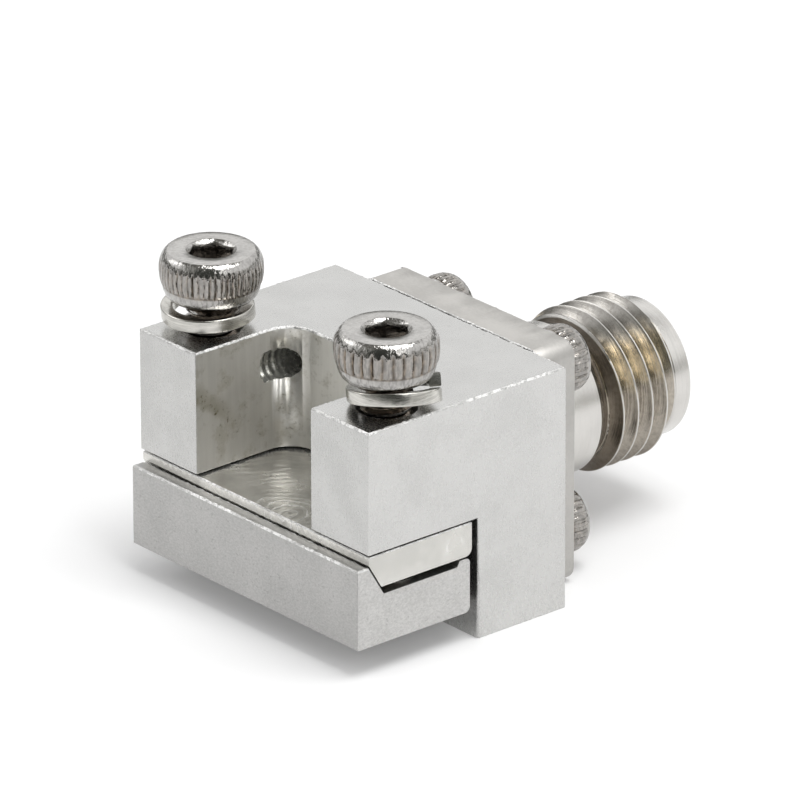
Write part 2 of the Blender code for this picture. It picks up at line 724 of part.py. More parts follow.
def make_contact(parts, cutters, material):
    """The female contact: a slotted socket at the mating end, a neck in the bead, a socket for the pin."""
    top = REFERENCE_PLANE - CONTACT_RECESS
    shoulder = BEAD_BACK + SEAT_GAP
    contact = turned(
        "centre_contact",
        [
            (0, top - CONTACT_SLOT_DEPTH),
            (CONTACT_BORE_RADIUS, top - CONTACT_SLOT_DEPTH + CONTACT_BORE_RADIUS / 2),
            (CONTACT_BORE_RADIUS, top - CONTACT_BORE_RADIUS / 3),
            (CONTACT_BORE_RADIUS * 1.15, top),
            (CONTACT_RADIUS - CONTACT_WALL / 3, top),
            (CONTACT_RADIUS, top - CONTACT_WALL / 2),
            (CONTACT_RADIUS, shoulder),
            (CONTACT_NECK_RADIUS, shoulder),
            (CONTACT_NECK_RADIUS, CONTACT_END),
            (PIN_SOCKET_RADIUS, CONTACT_END),
            (PIN_SOCKET_RADIUS, CONTACT_END + PIN_SOCKET_DEPTH),
            (0, CONTACT_END + PIN_SOCKET_DEPTH),
        ],
        32,
        COAXIAL,
        parts,
        material,
    )
    slot_top = top + TIP
    slot_bottom = top - CONTACT_SLOT_DEPTH * 0.85
    for turn in (45, 135):
        half = CONTACT_SLOT_WIDTH / 2
        reach = CONTACT_RADIUS + TIP / 4
        slot = extruded(
            f"cut_contact_slot_{turn}",
            [(-reach, -half), (reach, -half), (reach, half), (-reach, half)],
            slot_top - slot_bottom,
            COAXIAL @ Matrix.Translation((0, 0, (slot_top + slot_bottom) / 2))
            @ Matrix.Rotation(math.radians(turn), 4, "Z"),
            cutters,
        )
        boolean(contact, "DIFFERENCE", slot)
    return contact


def make_support_bead(parts, cutters, material):
    """The bead that holds the contact, slit on one side so that it slips over the contact's neck."""
    hole = CONTACT_NECK_RADIUS + SEAT_GAP
    bead = turned(
        "support_bead",
        [(hole, BEAD_BACK), (BEAD_RADIUS, BEAD_BACK), (BEAD_RADIUS, BEAD_FRONT), (hole, BEAD_FRONT)],
        40,
        COAXIAL,
        parts,
        material,
    )
    half = BEAD_SLIT_WIDTH / 2
    length = BEAD_BACK - BEAD_FRONT + 2 * TIP
    slit = extruded(
        "cut_bead_slit",
        [(-half, 0), (half, 0), (half, BEAD_RADIUS + TIP), (-half, BEAD_RADIUS + TIP)],
        length,
        COAXIAL @ Matrix.Translation((0, 0, (BEAD_BACK + BEAD_FRONT) / 2)),
        cutters,
    )
    boolean(bead, "DIFFERENCE", slit)
    return bead


def make_launch_bead(parts, material):
    """The small bead that centres the pin where it leaves the wall."""
    back = LAUNCH_BORE_END - SEAT_GAP
    front = back - LAUNCH_BEAD_LENGTH
    hole = PIN_RADIUS + SEAT_GAP
    outer = LAUNCH_BORE_RADIUS - SEAT_GAP
    profile = [(hole, back), (outer, back), (outer, front), (hole, front)]
    return turned("launch_bead", profile, 32, COAXIAL, parts, material)


def make_launch_pin(parts, material):
    """The pin that joins the contact's tail to the board's trace: full size inside, thin at the tab."""
    back = CONTACT_END + PIN_SOCKET_DEPTH - SEAT_GAP
    step = NOTCH_BACK + PIN_STEP_DEPTH
    front = NOTCH_BACK - PIN_TAB_REACH
    return turned(
        "launch_pin",
        [
            (0, back),
            (PIN_RADIUS * 0.7, back),
            (PIN_RADIUS, back - PIN_RADIUS * 0.5),
            (PIN_RADIUS, step),
            (PIN_TAB_RADIUS, step),
            (PIN_TAB_RADIUS, front),
            (0, front),
        ],
        20,
        COAXIAL,
        parts,
        material,
    )


def main():
    clear_scene()
    parts = new_collection("edge_mount_connector")
    cutters = new_collection("cutters")

    satin = metal("satin_nickel", (0.66, 0.65, 0.63), 0.32)
    milled = metal("milled_steel", (0.62, 0.61, 0.59), 0.3)
    polished = metal("polished_steel", (0.6, 0.58, 0.55), 0.18)
    spring = metal("spring_steel", (0.52, 0.51, 0.49), 0.25)
    turned_steel = metal("turned_steel", (0.63, 0.61, 0.58), 0.24)
    gold = metal("gold_plate", (0.83, 0.62, 0.28), 0.22)
    insulator = metal("white_insulator", (0.86, 0.86, 0.83), 0.5, 0.0)

    make_housing(parts, cutters, satin)
    make_support_plate(parts, cutters, milled)
    make_clamp_plate(parts, cutters, satin)

    clamp_sizes = (
        CLAMP_HEAD_RADIUS, CLAMP_HEAD_HEIGHT, CLAMP_SHANK_RADIUS, CLAMP_SHANK_LENGTH, CLAMP_SOCKET_ACROSS,
        CLAMP_KNURLS, 40,
    )
    for name, place in clamp_screw_places():
        seat = Matrix.Translation(place + Vector((0, 0, HEAD_UNDERSIDE)))
        turn = CLAMP_SCREW_TURNS[name]
        make_cap_screw("clamp_screw_" + name, clamp_sizes, seat, turn, parts, cutters, polished)
        make_spring_washer(
            "spring_washer_" + name, place, WASHER_POSES[name], WASHER_LEVELS[name], parts, spring
        )

    make_jack(parts, cutters, turned_steel)
    flange_sizes = (
        FLANGE_HEAD_RADIUS, FLANGE_HEAD_HEIGHT, FLANGE_SHANK_RADIUS, FLANGE_SHANK_LENGTH,
        FLANGE_SOCKET_ACROSS, FLANGE_KNURLS, 24,
    )
    for i, (name, x, z) in enumerate(flange_screw_places()):
        seat = Matrix.Translation((x, FLANGE_BACK + SEAT_GAP, z)) @ ALONG_Y
        turn = FLANGE_SCREW_TURN * i
        make_cap_screw("flange_screw_" + name, flange_sizes, seat, turn, parts, cutters, polished)

    make_insulator(parts, insulator)
    make_contact(parts, cutters, gold)
    make_support_bead(parts, cutters, insulator)
    make_launch_bead(parts, insulator)
    make_launch_pin(parts, gold)


main()
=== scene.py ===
"""Detailed pieces, finishes and stage of a clamp-on edge-mount coaxial connector.

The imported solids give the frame: X across the two ears, +Y towards the threaded jack and +Z up.
"""

import math

import bmesh
import bpy
from bpy.props import FloatProperty, FloatVectorProperty, IntProperty, PointerProperty
from mathutils import Matrix, Vector, noise


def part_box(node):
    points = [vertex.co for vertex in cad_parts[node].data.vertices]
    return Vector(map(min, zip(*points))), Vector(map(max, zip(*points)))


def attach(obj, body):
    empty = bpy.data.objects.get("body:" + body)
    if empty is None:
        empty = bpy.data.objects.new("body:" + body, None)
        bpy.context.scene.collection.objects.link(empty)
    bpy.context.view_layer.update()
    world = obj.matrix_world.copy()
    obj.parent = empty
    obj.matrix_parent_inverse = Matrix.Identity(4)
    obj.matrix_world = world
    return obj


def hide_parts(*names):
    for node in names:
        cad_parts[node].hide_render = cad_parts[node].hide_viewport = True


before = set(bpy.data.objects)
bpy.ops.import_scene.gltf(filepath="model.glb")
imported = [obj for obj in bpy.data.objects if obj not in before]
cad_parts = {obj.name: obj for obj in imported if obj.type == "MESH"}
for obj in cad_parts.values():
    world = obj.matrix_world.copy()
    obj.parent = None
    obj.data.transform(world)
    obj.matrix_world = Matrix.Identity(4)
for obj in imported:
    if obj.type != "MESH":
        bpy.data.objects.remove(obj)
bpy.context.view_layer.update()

MM = 0.001
FULL_TURN = 2 * math.pi
TOUCHING = 0.01 * MM
HOLE_FACETS = 96
SIDES = ("left", "right")
FLANGE_SCREWS = ("upper_left", "lower_left", "upper_right", "lower_right")
ALONG_Y = Matrix.Rotation(math.radians(-90), 4, "X")

bl_info = {
    "name": "Edge-mount connector",
    "version": (1, 0, 0),
    "blender": (4, 5, 0),
    "location": "3D View > Sidebar > Connector",
    "description": "Builds a clamp-on edge-mount coaxial connector with its finishes and stage",
    "category": "Add Mesh",
}


def low(node):
    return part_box(node)[0]


def high(node):
    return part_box(node)[1]


def length_property(name, description, millimetres):
    return FloatProperty(
        name=name, description=description, default=millimetres * MM, unit="LENGTH", precision=6
    )


def angle_property(name, description, degrees):
    return FloatProperty(
        name=name, description=description, default=math.radians(degrees), subtype="ANGLE"
    )


def ridges_property(name, description, default):
    return IntProperty(name=name, description=description, default=default, min=12)


def colour_property(name, description, default):
    return FloatVectorProperty(
        name=name, description=description, default=default, size=3, min=0, max=1, subtype="COLOR"
    )


class ConnectorBlockSizes(bpy.types.PropertyGroup):
    """Sizes of the machined blocks: housing, support plate and clamp plate."""

    edge_break: length_property("Edge break", "Width of the burred edges", 0.08)
    ear_underside: length_property("Ear underside", "Height of the ears' undersides", 4.73)
    wall_front: length_property("Wall front", "Where the rear wall starts, along Y", -2.085)
    notch_half_width: length_property("Notch half width", "From the middle to an ear", 3.2)
    notch_back: length_property("Notch back", "Where the notch ends, along Y", -2.665)
    notch_corner: length_property("Notch corner", "Radius of the notch's inner corners", 1.05)
    foot_corner: length_property("Foot corner", "Radius of the foot's front corners", 0.12)
    clearance_radius: length_property("Clearance radius", "Screw holes in the ears", 1.1)
    tapped_pitch: length_property("Tapped pitch", "Thread pitch of the flange screws", 0.3)
    tapped_depth: length_property("Tapped depth", "Depth of the flange screws' holes", 6.2)


class ConnectorScrewSizes(bpy.types.PropertyGroup):
    """Sizes of the cap screws and their washers."""

    clamp_ridges_left: ridges_property("Left ridges", "Knurl ridges on the left clamp screw", 54)
    clamp_ridges_right: ridges_property("Right ridges", "Knurl ridges on the right clamp screw", 30)
    flange_ridges: ridges_property("Flange ridges", "Knurl ridges on each flange screw", 26)
    clamp_socket: length_property("Clamp socket", "Clamp screws' socket across flats", 1.5)
    flange_socket: length_property("Flange socket", "Flange screws' socket across flats", 1.3)
    clamp_pitch: length_property("Clamp pitch", "Thread pitch of the clamp screws", 0.4)
    washer_bore: length_property("Washer bore", "Inner radius of a spring washer", 1.26)
    washer_wall: length_property("Washer wall", "Radial width of a spring washer", 0.44)
    washer_thickness: length_property("Washer thickness", "Height of its section", 0.5)
    washer_spring: length_property("Washer spring", "How far one end stands off the other", 0.5)
    washer_slack: length_property("Washer slack", "Room between a washer and its screw", 0.31)


class ConnectorJackSizes(bpy.types.PropertyGroup):
    """Sizes of the jack and what is inside it."""

    thread_radius: length_property("Thread radius", "Outside radius of the jack's thread", 3.1)
    thread_depth: length_property("Thread depth", "Crest to root", 0.45)
    thread_pitch: length_property("Thread pitch", "Advance in one turn", 25.4 / 36)
    thread_length: length_property("Thread length", "From the relief to the nose", 3.175)
    neck_radius: length_property("Neck radius", "Round neck behind the thread", 2.88)
    neck_length: length_property("Neck length", "From the flange to the relief", 3.26)
    relief_radius: length_property("Relief radius", "Groove where the thread starts", 2.6)
    relief_length: length_property("Relief length", "Width of that groove", 0.4)
    bore_radius: length_property("Bore radius", "Mating bore", 2.3)
    bore_depth: length_property("Bore depth", "From the jack's end to the insulator", 1.95)
    step_radius: length_property("Step radius", "Bore that holds the insulator", 2.1)
    flange_corner: length_property("Flange corner", "Radius of the flange's corners", 0.6)


class ConnectorFinishes(bpy.types.PropertyGroup):
    """Colours of the finishes."""

    satin: colour_property("Satin plate", "Machined blocks", (0.6, 0.597, 0.585))
    ground: colour_property("Ground plate", "Clamp plate", (0.47, 0.465, 0.455))
    # Near-white painted highlights on the burred edges and on the support plate's ring marks
    bright: colour_property("Bright edge", "Burred edges", (0.98, 0.975, 0.96))
    milled: colour_property("Milled steel", "Support plate and notch", (0.7, 0.69, 0.655))
    polished: colour_property("Polished steel", "Screws", (0.5, 0.488, 0.47))
    spring: colour_property("Spring steel", "Washers", (0.6, 0.588, 0.55))
    turned: colour_property("Turned steel", "Jack", (0.64, 0.625, 0.6))
    # Dark brown for oily places, which also stands in for painted shade in grooves, recesses and under the
    # heads
    stain: colour_property("Stain", "Oil left in grooves", (0.1, 0.08, 0.06))
    gold: colour_property("Gold plate", "Contact and pin", (0.83, 0.62, 0.28))
    insulator: colour_property("Insulator", "Insulator and beads", (0.86, 0.86, 0.83))


class ConnectorStage(bpy.types.PropertyGroup):
    """Camera, lamps, floor and world."""

    azimuth: angle_property("Azimuth", "Camera's turn round the object", 49.446)
    elevation: angle_property("Elevation", "Camera's angle above the floor", 23.277)
    roll: angle_property("Roll", "Camera's turn about its own axis", -0.141)
    distance: length_property("Distance", "Camera to the point it looks at", 397.73)
    target: FloatVectorProperty(
        name="Target", description="Point in the middle of the picture",
        default=(-6.488 * MM, 5.254 * MM, 3.079 * MM), size=3, subtype="TRANSLATION",
    )
    focal_length: FloatProperty(
        name="Focal length", description="In millimetres, on a 36 mm sensor", default=484.09
    )
    overhead: FloatProperty(name="Overhead", description="Overhead lamp's power", default=0.75, unit="POWER")
    side: FloatProperty(name="Side", description="Side lamps' power", default=0.12, unit="POWER")
    ambient: FloatProperty(name="Ambient", description="World's light on matt surfaces", default=0.6)
    floor_glow: FloatProperty(
        name="Floor glow", description="Share of the floor's white that no shadow dims", default=0.12
    )


# Shaders


class Value:
    """A node's output, which Python's arithmetic extends with Math nodes."""

    def __init__(self, graph, socket):
        self.graph = graph
        self.socket = socket

    def _math(self, operation, first, second):
        return self.graph.node("ShaderNodeMath", {"operation": operation}, {0: first, 1: second})

    def __add__(self, other):
        return self._math("ADD", self, other)

    def __radd__(self, other):
        return self._math("ADD", other, self)

    def __sub__(self, other):
        return self._math("SUBTRACT", self, other)

    def __rsub__(self, other):
        return self._math("SUBTRACT", other, self)

    def __mul__(self, other):
        return self._math("MULTIPLY", self, other)

    def __rmul__(self, other):
        return self._math("MULTIPLY", other, self)


class Graph:
    """The nodes of one material or world."""

    def __init__(self, owner):
        owner.use_nodes = True
        self.tree = owner.node_tree

    def node(self, kind, settings=None, sockets=None, output=0):
        """Adds a node with its settings and the values or links of its sockets."""
        made = self.tree.nodes.new(kind)
        for name, setting in (settings or {}).items():
            setattr(made, name, setting)
        for name, value in (sockets or {}).items():
            self.feed(made.inputs[name], value)
        return Value(self, made.outputs[output])

    def feed(self, socket, value):
        if isinstance(value, Value):
            self.tree.links.new(value.socket, socket)
        elif socket.type == "RGBA":
            socket.default_value = (*value, 1)
        else:
            socket.default_value = value

    def smooth(self, value, start, end):
        """0 below start and 1 above end, with a smooth step between them."""
        return self.node(
            "ShaderNodeMapRange",
            {"interpolation_type": "SMOOTHSTEP"},
            {"Value": value, "From Min": start, "From Max": end},
        )

    def mix(self, factor, first, second):
        """A mix of two colours."""
        return self.node("ShaderNodeMix", {"data_type": "RGBA"}, {0: factor, 6: first, 7: second}, 2)

    def millimetres(self, stretch=(1, 1, 1)):
        """The surface's position in millimetres, scaled along each axis."""
        place = self.node("ShaderNodeTexCoord", output="Object")
        scale = tuple(factor / MM for factor in stretch)
        return self.node("ShaderNodeVectorMath", {"operation": "MULTIPLY"}, {0: place, 1: scale})

    def noise(self, vector, scale, detail=2.0, roughness=0.5):
        return self.node(
            "ShaderNodeTexNoise", None,
            {"Vector": vector, "Scale": scale, "Detail": detail, "Roughness": roughness},
        )

    def along(self, vector, axis):
        """A vector's part along an axis."""
        return self.node("ShaderNodeSeparateXYZ", None, {0: vector}, axis)

    def facing(self, axis):
        """How far the surface faces along an axis of the room, from -1 to 1."""
        return self.along(self.node("ShaderNodeNewGeometry", output="Normal"), axis)

    def grime_and_shade(self):
        """How dark the mesh says that each point is painted, from 0 to 1: oily, and partly painted shade."""
        return self.node("ShaderNodeAttribute", {"attribute_name": "grime_and_shade"}, output="Fac")

    def shades(self, factor, colour, darker, lighter):
        """A colour that varies between two shares of itself."""
        return self.mix(factor, scaled(colour, darker), scaled(colour, lighter))

    def two_tone(self, mask, factor, colour, off, on):
        """A colour's shades between one pair of shares off the mask and another pair on it."""
        return self.mix(mask, self.shades(factor, colour, *off), self.shades(factor, colour, *on))


def scaled(colour, share):
    return tuple(c * share for c in colour)


class Finish(Graph):
    """A material under construction, which feeds its Principled BSDF."""

    def __init__(self, name):
        self.material = bpy.data.materials.new(name + "_finish")
        super().__init__(self.material)
        self.shader = self.tree.nodes["Principled BSDF"]

    def set(self, name, value):
        self.feed(self.shader.inputs[name], value)

    def surface(self, colour, roughness, height, depth, strength=1.0, metallic=1.0):
        """Feeds the shader; a height of 1 in the bump stands for depth, in millimetres."""
        self.set("Base Color", colour)
        self.set("Roughness", roughness)
        self.set("Metallic", metallic)
        sockets = {"Height": height, "Distance": depth * MM, "Strength": strength}
        self.set("Normal", self.node("ShaderNodeBump", None, sockets))


def satin_plate(finish, colours):
    """Bright satin plate over milled metal, with faint clouds, a fine grain and a few small dents; faces
    towards -Y are painted darker, as painted shade.
    """
    place = finish.millimetres()
    clouds = finish.noise(place, 0.55, 4, 0.6)
    grain = finish.noise(finish.millimetres((1, 1, 0.4)), 13, 3, 0.7)
    specks = finish.smooth(finish.noise(place, 7, 2, 0.6), 0.66, 0.74)
    shade = finish.smooth(clouds * 0.7 + grain * 0.3, 0.34, 0.66)
    # Painted shade: faces towards -Y take darker shades than the rest
    front = finish.smooth(0 - finish.facing("Y"), 0.5, 0.9)
    plain = finish.two_tone(front, shade, colours.satin, (0.94, 1.03), (0.84, 0.95))
    colour = finish.mix(specks * 0.2, plain, scaled(colours.satin, 0.62))
    finish.surface(
        colour, 0.2 + grain * 0.1 + clouds * 0.05, grain * 0.2 + clouds - specks * 0.3, 0.005
    )


def ground_plate(finish, colours):
    """The clamp's duller ground finish, with a dense grain and small pits; faces towards +X are painted
    lighter, as painted light.
    """
    grain = finish.noise(finish.millimetres((1, 1, 1.5)), 9, 5, 0.75)
    clouds = finish.noise(finish.millimetres(), 0.6, 3)
    pits = finish.smooth(finish.noise(finish.millimetres(), 8, 2, 0.6), 0.63, 0.72)
    shade = finish.smooth(grain * 0.8 + clouds * 0.2, 0.36, 0.64)
    # Painted light: faces towards +X take lighter shades than the rest
    end = finish.smooth(finish.facing("X"), 0.5, 0.9)
    plain = finish.two_tone(end, shade, colours.ground, (0.82, 1.08), (1.02, 1.32))
    colour = finish.mix(pits * 0.4, plain, scaled(colours.ground, 0.55))
    finish.surface(colour, 0.3 + grain * 0.14, grain - pits * 0.6, 0.009)


def burred_edge_painted_highlights(finish, colours):
    """A broken edge, rough where the tool left it: near-white dots as painted highlights, with plain gaps
    between them.
    """
    place = finish.millimetres()
    dots = finish.smooth(finish.noise(place, 7, 3, 0.7), 0.4, 0.56)
    stretches = finish.smooth(finish.noise(place, 0.8, 2), 0.4, 0.56)
    burr = dots * (0.3 + 0.7 * stretches)
    # Painted highlights: the dots take a near-white colour and lose most of their metal
    colour = finish.mix(burr, scaled(colours.satin, 0.95), colours.bright)
    finish.surface(colour, 0.3 + burr * 0.2, dots, 0.025, 0.6, 1 - burr * 0.9)


def milled_pocket(finish, colours):
    """The notch's walls as the cutter left them: satin, with upright tool marks and olive stains; faces
    towards -Y are painted lighter than the rest, as painted light.
    """
    place = finish.millimetres()
    marks = finish.noise(finish.millimetres((1, 1, 0.07)), 3.5, 3, 0.6)
    clouds = finish.noise(place, 0.9, 5, 0.7)
    specks = finish.smooth(finish.noise(place, 5, 3, 0.7), 0.56, 0.68)
    stain = finish.smooth(clouds, 0.5, 0.66)
    # Painted light: faces towards -Y take lighter shades than the other walls
    rear = finish.smooth(0 - finish.facing("Y"), 0.2, 0.95)
    plain = finish.two_tone(rear, marks, colours.milled, (0.76, 1.0), (1.02, 1.3))
    depth = finish.along(place, "Y")
    run = finish.along(place, "Z") + depth * 0.82 + clouds * 0.9 - 2.35
    streak = finish.smooth(run, -0.5, -0.05) * (1 - finish.smooth(run, 0.1, 0.7))
    left_wall = finish.smooth(finish.facing("X"), 0.6, 0.95)
    smear = streak * left_wall * (1 - finish.smooth(depth, -6.4, -4.9))
    smudged = finish.mix(stain * 0.4 + smear * 0.5, plain, (0.3, 0.275, 0.2))
    colour = finish.mix(specks * (stain * 0.6 + smear), smudged, (0.16, 0.145, 0.1))
    finish.surface(
        colour, 0.38 + clouds * 0.14, marks * 0.4 + clouds, 0.012, 0.6, 0.86 - stain * 0.1
    )


def tapped_thread(finish, colours):
    """The flange screws' threaded holes, painted a darker grey inside as painted shade, between bright
    turns.
    """
    blots = finish.noise(finish.millimetres(), 4, 3, 0.6)
    # Painted shade: the hole's inside takes a darker grey than the plate round it
    colour = finish.shades(finish.smooth(blots, 0.35, 0.65), (0.42, 0.42, 0.385), 0.7, 1.3)
    finish.surface(colour, 0.18 + blots * 0.16, blots, 0.01, metallic=0.6)


def milled_flange(finish, colours):
    """The jack's flange: duller than its turned barrel, with a fine grain; its faces towards +X are painted
    darker as painted shade.
    """
    grain = finish.noise(finish.millimetres((0.5, 1, 1)), 11, 4, 0.7)
    clouds = finish.noise(finish.millimetres(), 0.7, 4, 0.6)
    shade = finish.smooth(grain * 0.4 + clouds * 0.6, 0.36, 0.64)
    # Painted shade: faces towards +X take darker shades than the rest
    side = finish.smooth(finish.facing("X"), 0.5, 0.9)
    colour = finish.two_tone(side, shade, colours.turned, (0.84, 1.0), (0.72, 0.84))
    finish.surface(colour, 0.46 + grain * 0.12, grain * 0.5 + clouds, 0.006)


def swirled_plate(finish, colours):
    """Milled steel whose flat faces carry rings left by an end mill, with painted highlights on the rings'
    crests and painted shade on faces towards +X.
    """
    place = finish.millimetres()
    away = finish.node(
        "ShaderNodeVectorMath", {"operation": "SUBTRACT"}, {0: place, 1: (1.4, -6.8, 4.65)}
    )
    distance = finish.node("ShaderNodeVectorMath", {"operation": "LENGTH"}, {0: away}, "Value")
    wander = finish.noise(place, 0.7, 2)
    rings = finish.node("ShaderNodeMath", {"operation": "SINE"}, {0: (distance + wander) * 17})
    fine = finish.noise(place, 12, 3, 0.7)
    clouds = finish.noise(place, 0.8, 3)
    near = 1 - finish.smooth(distance, 0.9, 2.2)
    patches = finish.smooth(clouds, 0.5, 0.62)
    # Painted highlights: the rings' crests near their middle and in patches take a near-white colour
    ring_painted_highlights = finish.smooth(rings, 0.7, 1) * (near * 0.5 + patches * 0.4)
    # Painted shade: faces towards +X take darker shades than the rest
    end = finish.smooth(finish.facing("X"), 0.5, 0.9)
    shade = finish.smooth(clouds, 0.35, 0.65)
    plain = finish.two_tone(end, shade, colours.milled, (0.94, 1.24), (0.84, 0.94))
    colour = finish.mix(ring_painted_highlights * 0.8, plain, colours.bright)
    height = rings * 0.5 + fine * 0.5
    finish.surface(colour, 0.2 + clouds * 0.12, height, 0.007, metallic=0.92 - ring_painted_highlights * 0.4)


def polished_steel(finish, colours):
    """Barrel-polished stainless steel: smooth on its ends, dented and scratched round its sides, whose
    darker colour is partly scratches and partly painted shade; oily places take a dark brown that is partly
    painted shade.
    """
    place = finish.millimetres()
    waves = finish.noise(place, 1.5, 3, 0.6)
    dents = finish.noise(finish.millimetres((1.3, 1.3, 0.8)), 5.5, 2, 0.6)
    scratches = finish.noise(finish.millimetres((1, 1, 0.1)), 9, 3, 0.7)
    scratches = finish.smooth(scratches, 0.42, 0.66)
    up = finish.facing("Z")
    side = 1 - finish.smooth(up, 0.9, 0.98)
    flank = 1 - finish.smooth(up, 0.15, 0.5)
    shade = finish.smooth(waves * 0.5 + dents * 0.5, 0.35, 0.65)
    plain = finish.shades(shade, colours.polished, 0.86, 1.08)
    # Scratches and painted shade: upright sides and knurl flanks take a darker colour than the ends
    scratches_and_painted_side_shade = side * (scratches * 0.25 + 0.1) + flank * (scratches * 0.25 + 0.04)
    clean = finish.mix(scratches_and_painted_side_shade, plain, scaled(colours.polished, 0.36))
    # Dark brown for oily places: partly painted shade in grooves, the socket and under the head
    oil_and_shade = finish.shades(finish.smooth(dents, 0.4, 0.65), colours.stain, 0.8, 2.2)
    colour = finish.mix(finish.grime_and_shade(), clean, oil_and_shade)
    height = waves * 0.6 + dents * (0.15 + side * 0.8)
    finish.surface(colour, 0.18 - side * 0.08 + waves * 0.1, height, 0.035, 0.8)


def spring_steel(finish, colours):
    """Rolled spring steel: smooth, with fine lines round the washer."""
    lines = finish.noise(finish.millimetres((0.25, 0.25, 7)), 3, 3, 0.6)
    clouds = finish.noise(finish.millimetres(), 1.4, 4, 0.6)
    shade = finish.smooth(lines * 0.6 + clouds * 0.4, 0.36, 0.64)
    colour = finish.shades(shade, colours.spring, 0.72, 1.12)
    finish.surface(colour, 0.14 + clouds * 0.16, lines * 0.2 + clouds * 1.4, 0.02, 0.6)


def turned_steel(finish, colours):
    """Lathe-turned steel: fine rings along the axis, and an oily brown coat on the thread's flanks that is
    partly painted shade, with painted reflections: greyer over the top and a warm gold band below.
    """
    rings = finish.noise(finish.millimetres((0.12, 9, 0.12)), 3, 3, 0.65)
    place = finish.millimetres()
    clouds = finish.noise(place, 1.1, 4, 0.6)
    blots = finish.smooth(finish.noise(place, 5, 4, 0.75), 0.38, 0.74)
    grime_and_shade = finish.grime_and_shade()
    # Darkest in the relief and before the first crest: oily, and partly painted shade in the groove
    deep = finish.smooth(grime_and_shade, 0.93, 0.98)
    level = finish.along(place, "Z") + clouds
    # Painted reflection: the barrel's top is painted greyer, and a warm gold band is painted below it
    upper = finish.smooth(level, 7.2, 8.0)
    painted_golden_reflection = finish.smooth(level, 5.9, 6.5) * (1 - upper) * (1 - deep)
    shade = finish.smooth(rings * 0.55 + clouds * 0.45, 0.35, 0.65)
    plain = finish.shades(shade, colours.turned, 0.92, 1.05)
    brown = finish.mix(upper, (0.4, 0.355, 0.29), (0.34, 0.325, 0.3))
    oil_film_and_painted_reflection = finish.mix(painted_golden_reflection, brown, (0.8, 0.69, 0.5))
    oil_and_shade = finish.mix(blots * (0.55 - deep * 0.4) + deep * 0.75, oil_film_and_painted_reflection, colours.stain)
    colour = finish.mix(grime_and_shade, plain, oil_and_shade)
    finish.surface(colour, 0.17 + clouds * 0.14, rings + clouds * 0.8, 0.009, 0.8)


def gold_plate(finish, colours):
    """Bright gold with faint clouds."""
    clouds = finish.noise(finish.millimetres(), 2.5, 3)
    colour = finish.shades(clouds, colours.gold, 0.85, 1)
    finish.surface(colour, 0.14 + clouds * 0.14, clouds, 0.006)


def white_insulator(finish, colours):
    """Milky fluoropolymer with faint turning marks."""
    rings = finish.noise(finish.millimetres((1, 4, 1)), 3, 3)
    colour = finish.shades(rings, colours.insulator, 0.94, 1)
    finish.surface(colour, 0.38 + rings * 0.16, rings, 0.01, 0.6, 0.0)
    finish.set("Subsurface Weight", 0.15)
    finish.set("Subsurface Scale", 0.4 * MM)


FINISHES = {
    make.__name__: make
    for make in (
        satin_plate, ground_plate, burred_edge_painted_highlights, milled_pocket, tapped_thread, milled_flange,
        swirled_plate, polished_steel, spring_steel, turned_steel, gold_plate, white_insulator,
    )
}


def finish_named(name):
    """The finish's material, made when it is first asked for."""
    made = bpy.data.materials.get(name + "_finish")
    if made:
        return made
    finish = Finish(name)
    FINISHES[name](finish, bpy.context.scene.connector_finishes)
    return finish.material


# Mesh tools


def piece_from(mesh, name, finishes, node):
    """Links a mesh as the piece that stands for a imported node."""
    piece = bpy.data.objects.new(name, mesh)
    bpy.context.scene.collection.objects.link(piece)
    for i, finish in enumerate(finishes):
        if i == len(mesh.materials):
            mesh.materials.append(None)
        mesh.materials[i] = finish_named(finish)
    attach(piece, "root")
    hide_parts(node)
    return piece


def mesh_from(name, points, faces, grime_and_shade=()):
    """A mesh with coinciding points merged and normals out; its last argument says how dark each point is
    painted, oily and partly painted shade.
    """
    form = bmesh.new()
    layer = form.verts.layers.float.new("grime_and_shade")
    made = [form.verts.new(point) for point in points]
    for vert, share in zip(made, grime_and_shade):
        vert[layer] = share
    for corners in faces:
        form.faces.new([made[i] for i in corners])
    bmesh.ops.remove_doubles(form, verts=form.verts, dist=0.0002 * MM)
    bmesh.ops.recalc_face_normals(form, faces=form.faces)
    mesh = bpy.data.meshes.new(name)
    form.to_mesh(mesh)
    form.free()
    return mesh


def shade(mesh, angle):
    mesh.shade_smooth()
    mesh.set_sharp_from_angle(angle=math.radians(angle))
    return mesh


def turned(name, column, facets, place, sharp=32):
    """A closed skin about local Z; column(turn) gives (radius, height) points up one side of it.

    A third value of a point says how dark it is painted: oily, and partly painted shade.
    """
    points = []
    grime_and_shade = []
    faces = []
    for i in range(facets + 1):
        angle = FULL_TURN * i / facets
        side = column(i / facets)
        for radius, height, *dark in side:
            points.append(place @ Vector((radius * math.cos(angle), radius * math.sin(angle), height)))
            grime_and_shade.append(dark[0] if dark else 0.0)
        if i:
            start = i * len(side)
            for j in range(start, start + len(side) - 1):
                faces.append((j - len(side), j, j + 1, j - len(side) + 1))
    return shade(mesh_from(name, points, faces, grime_and_shade), sharp)


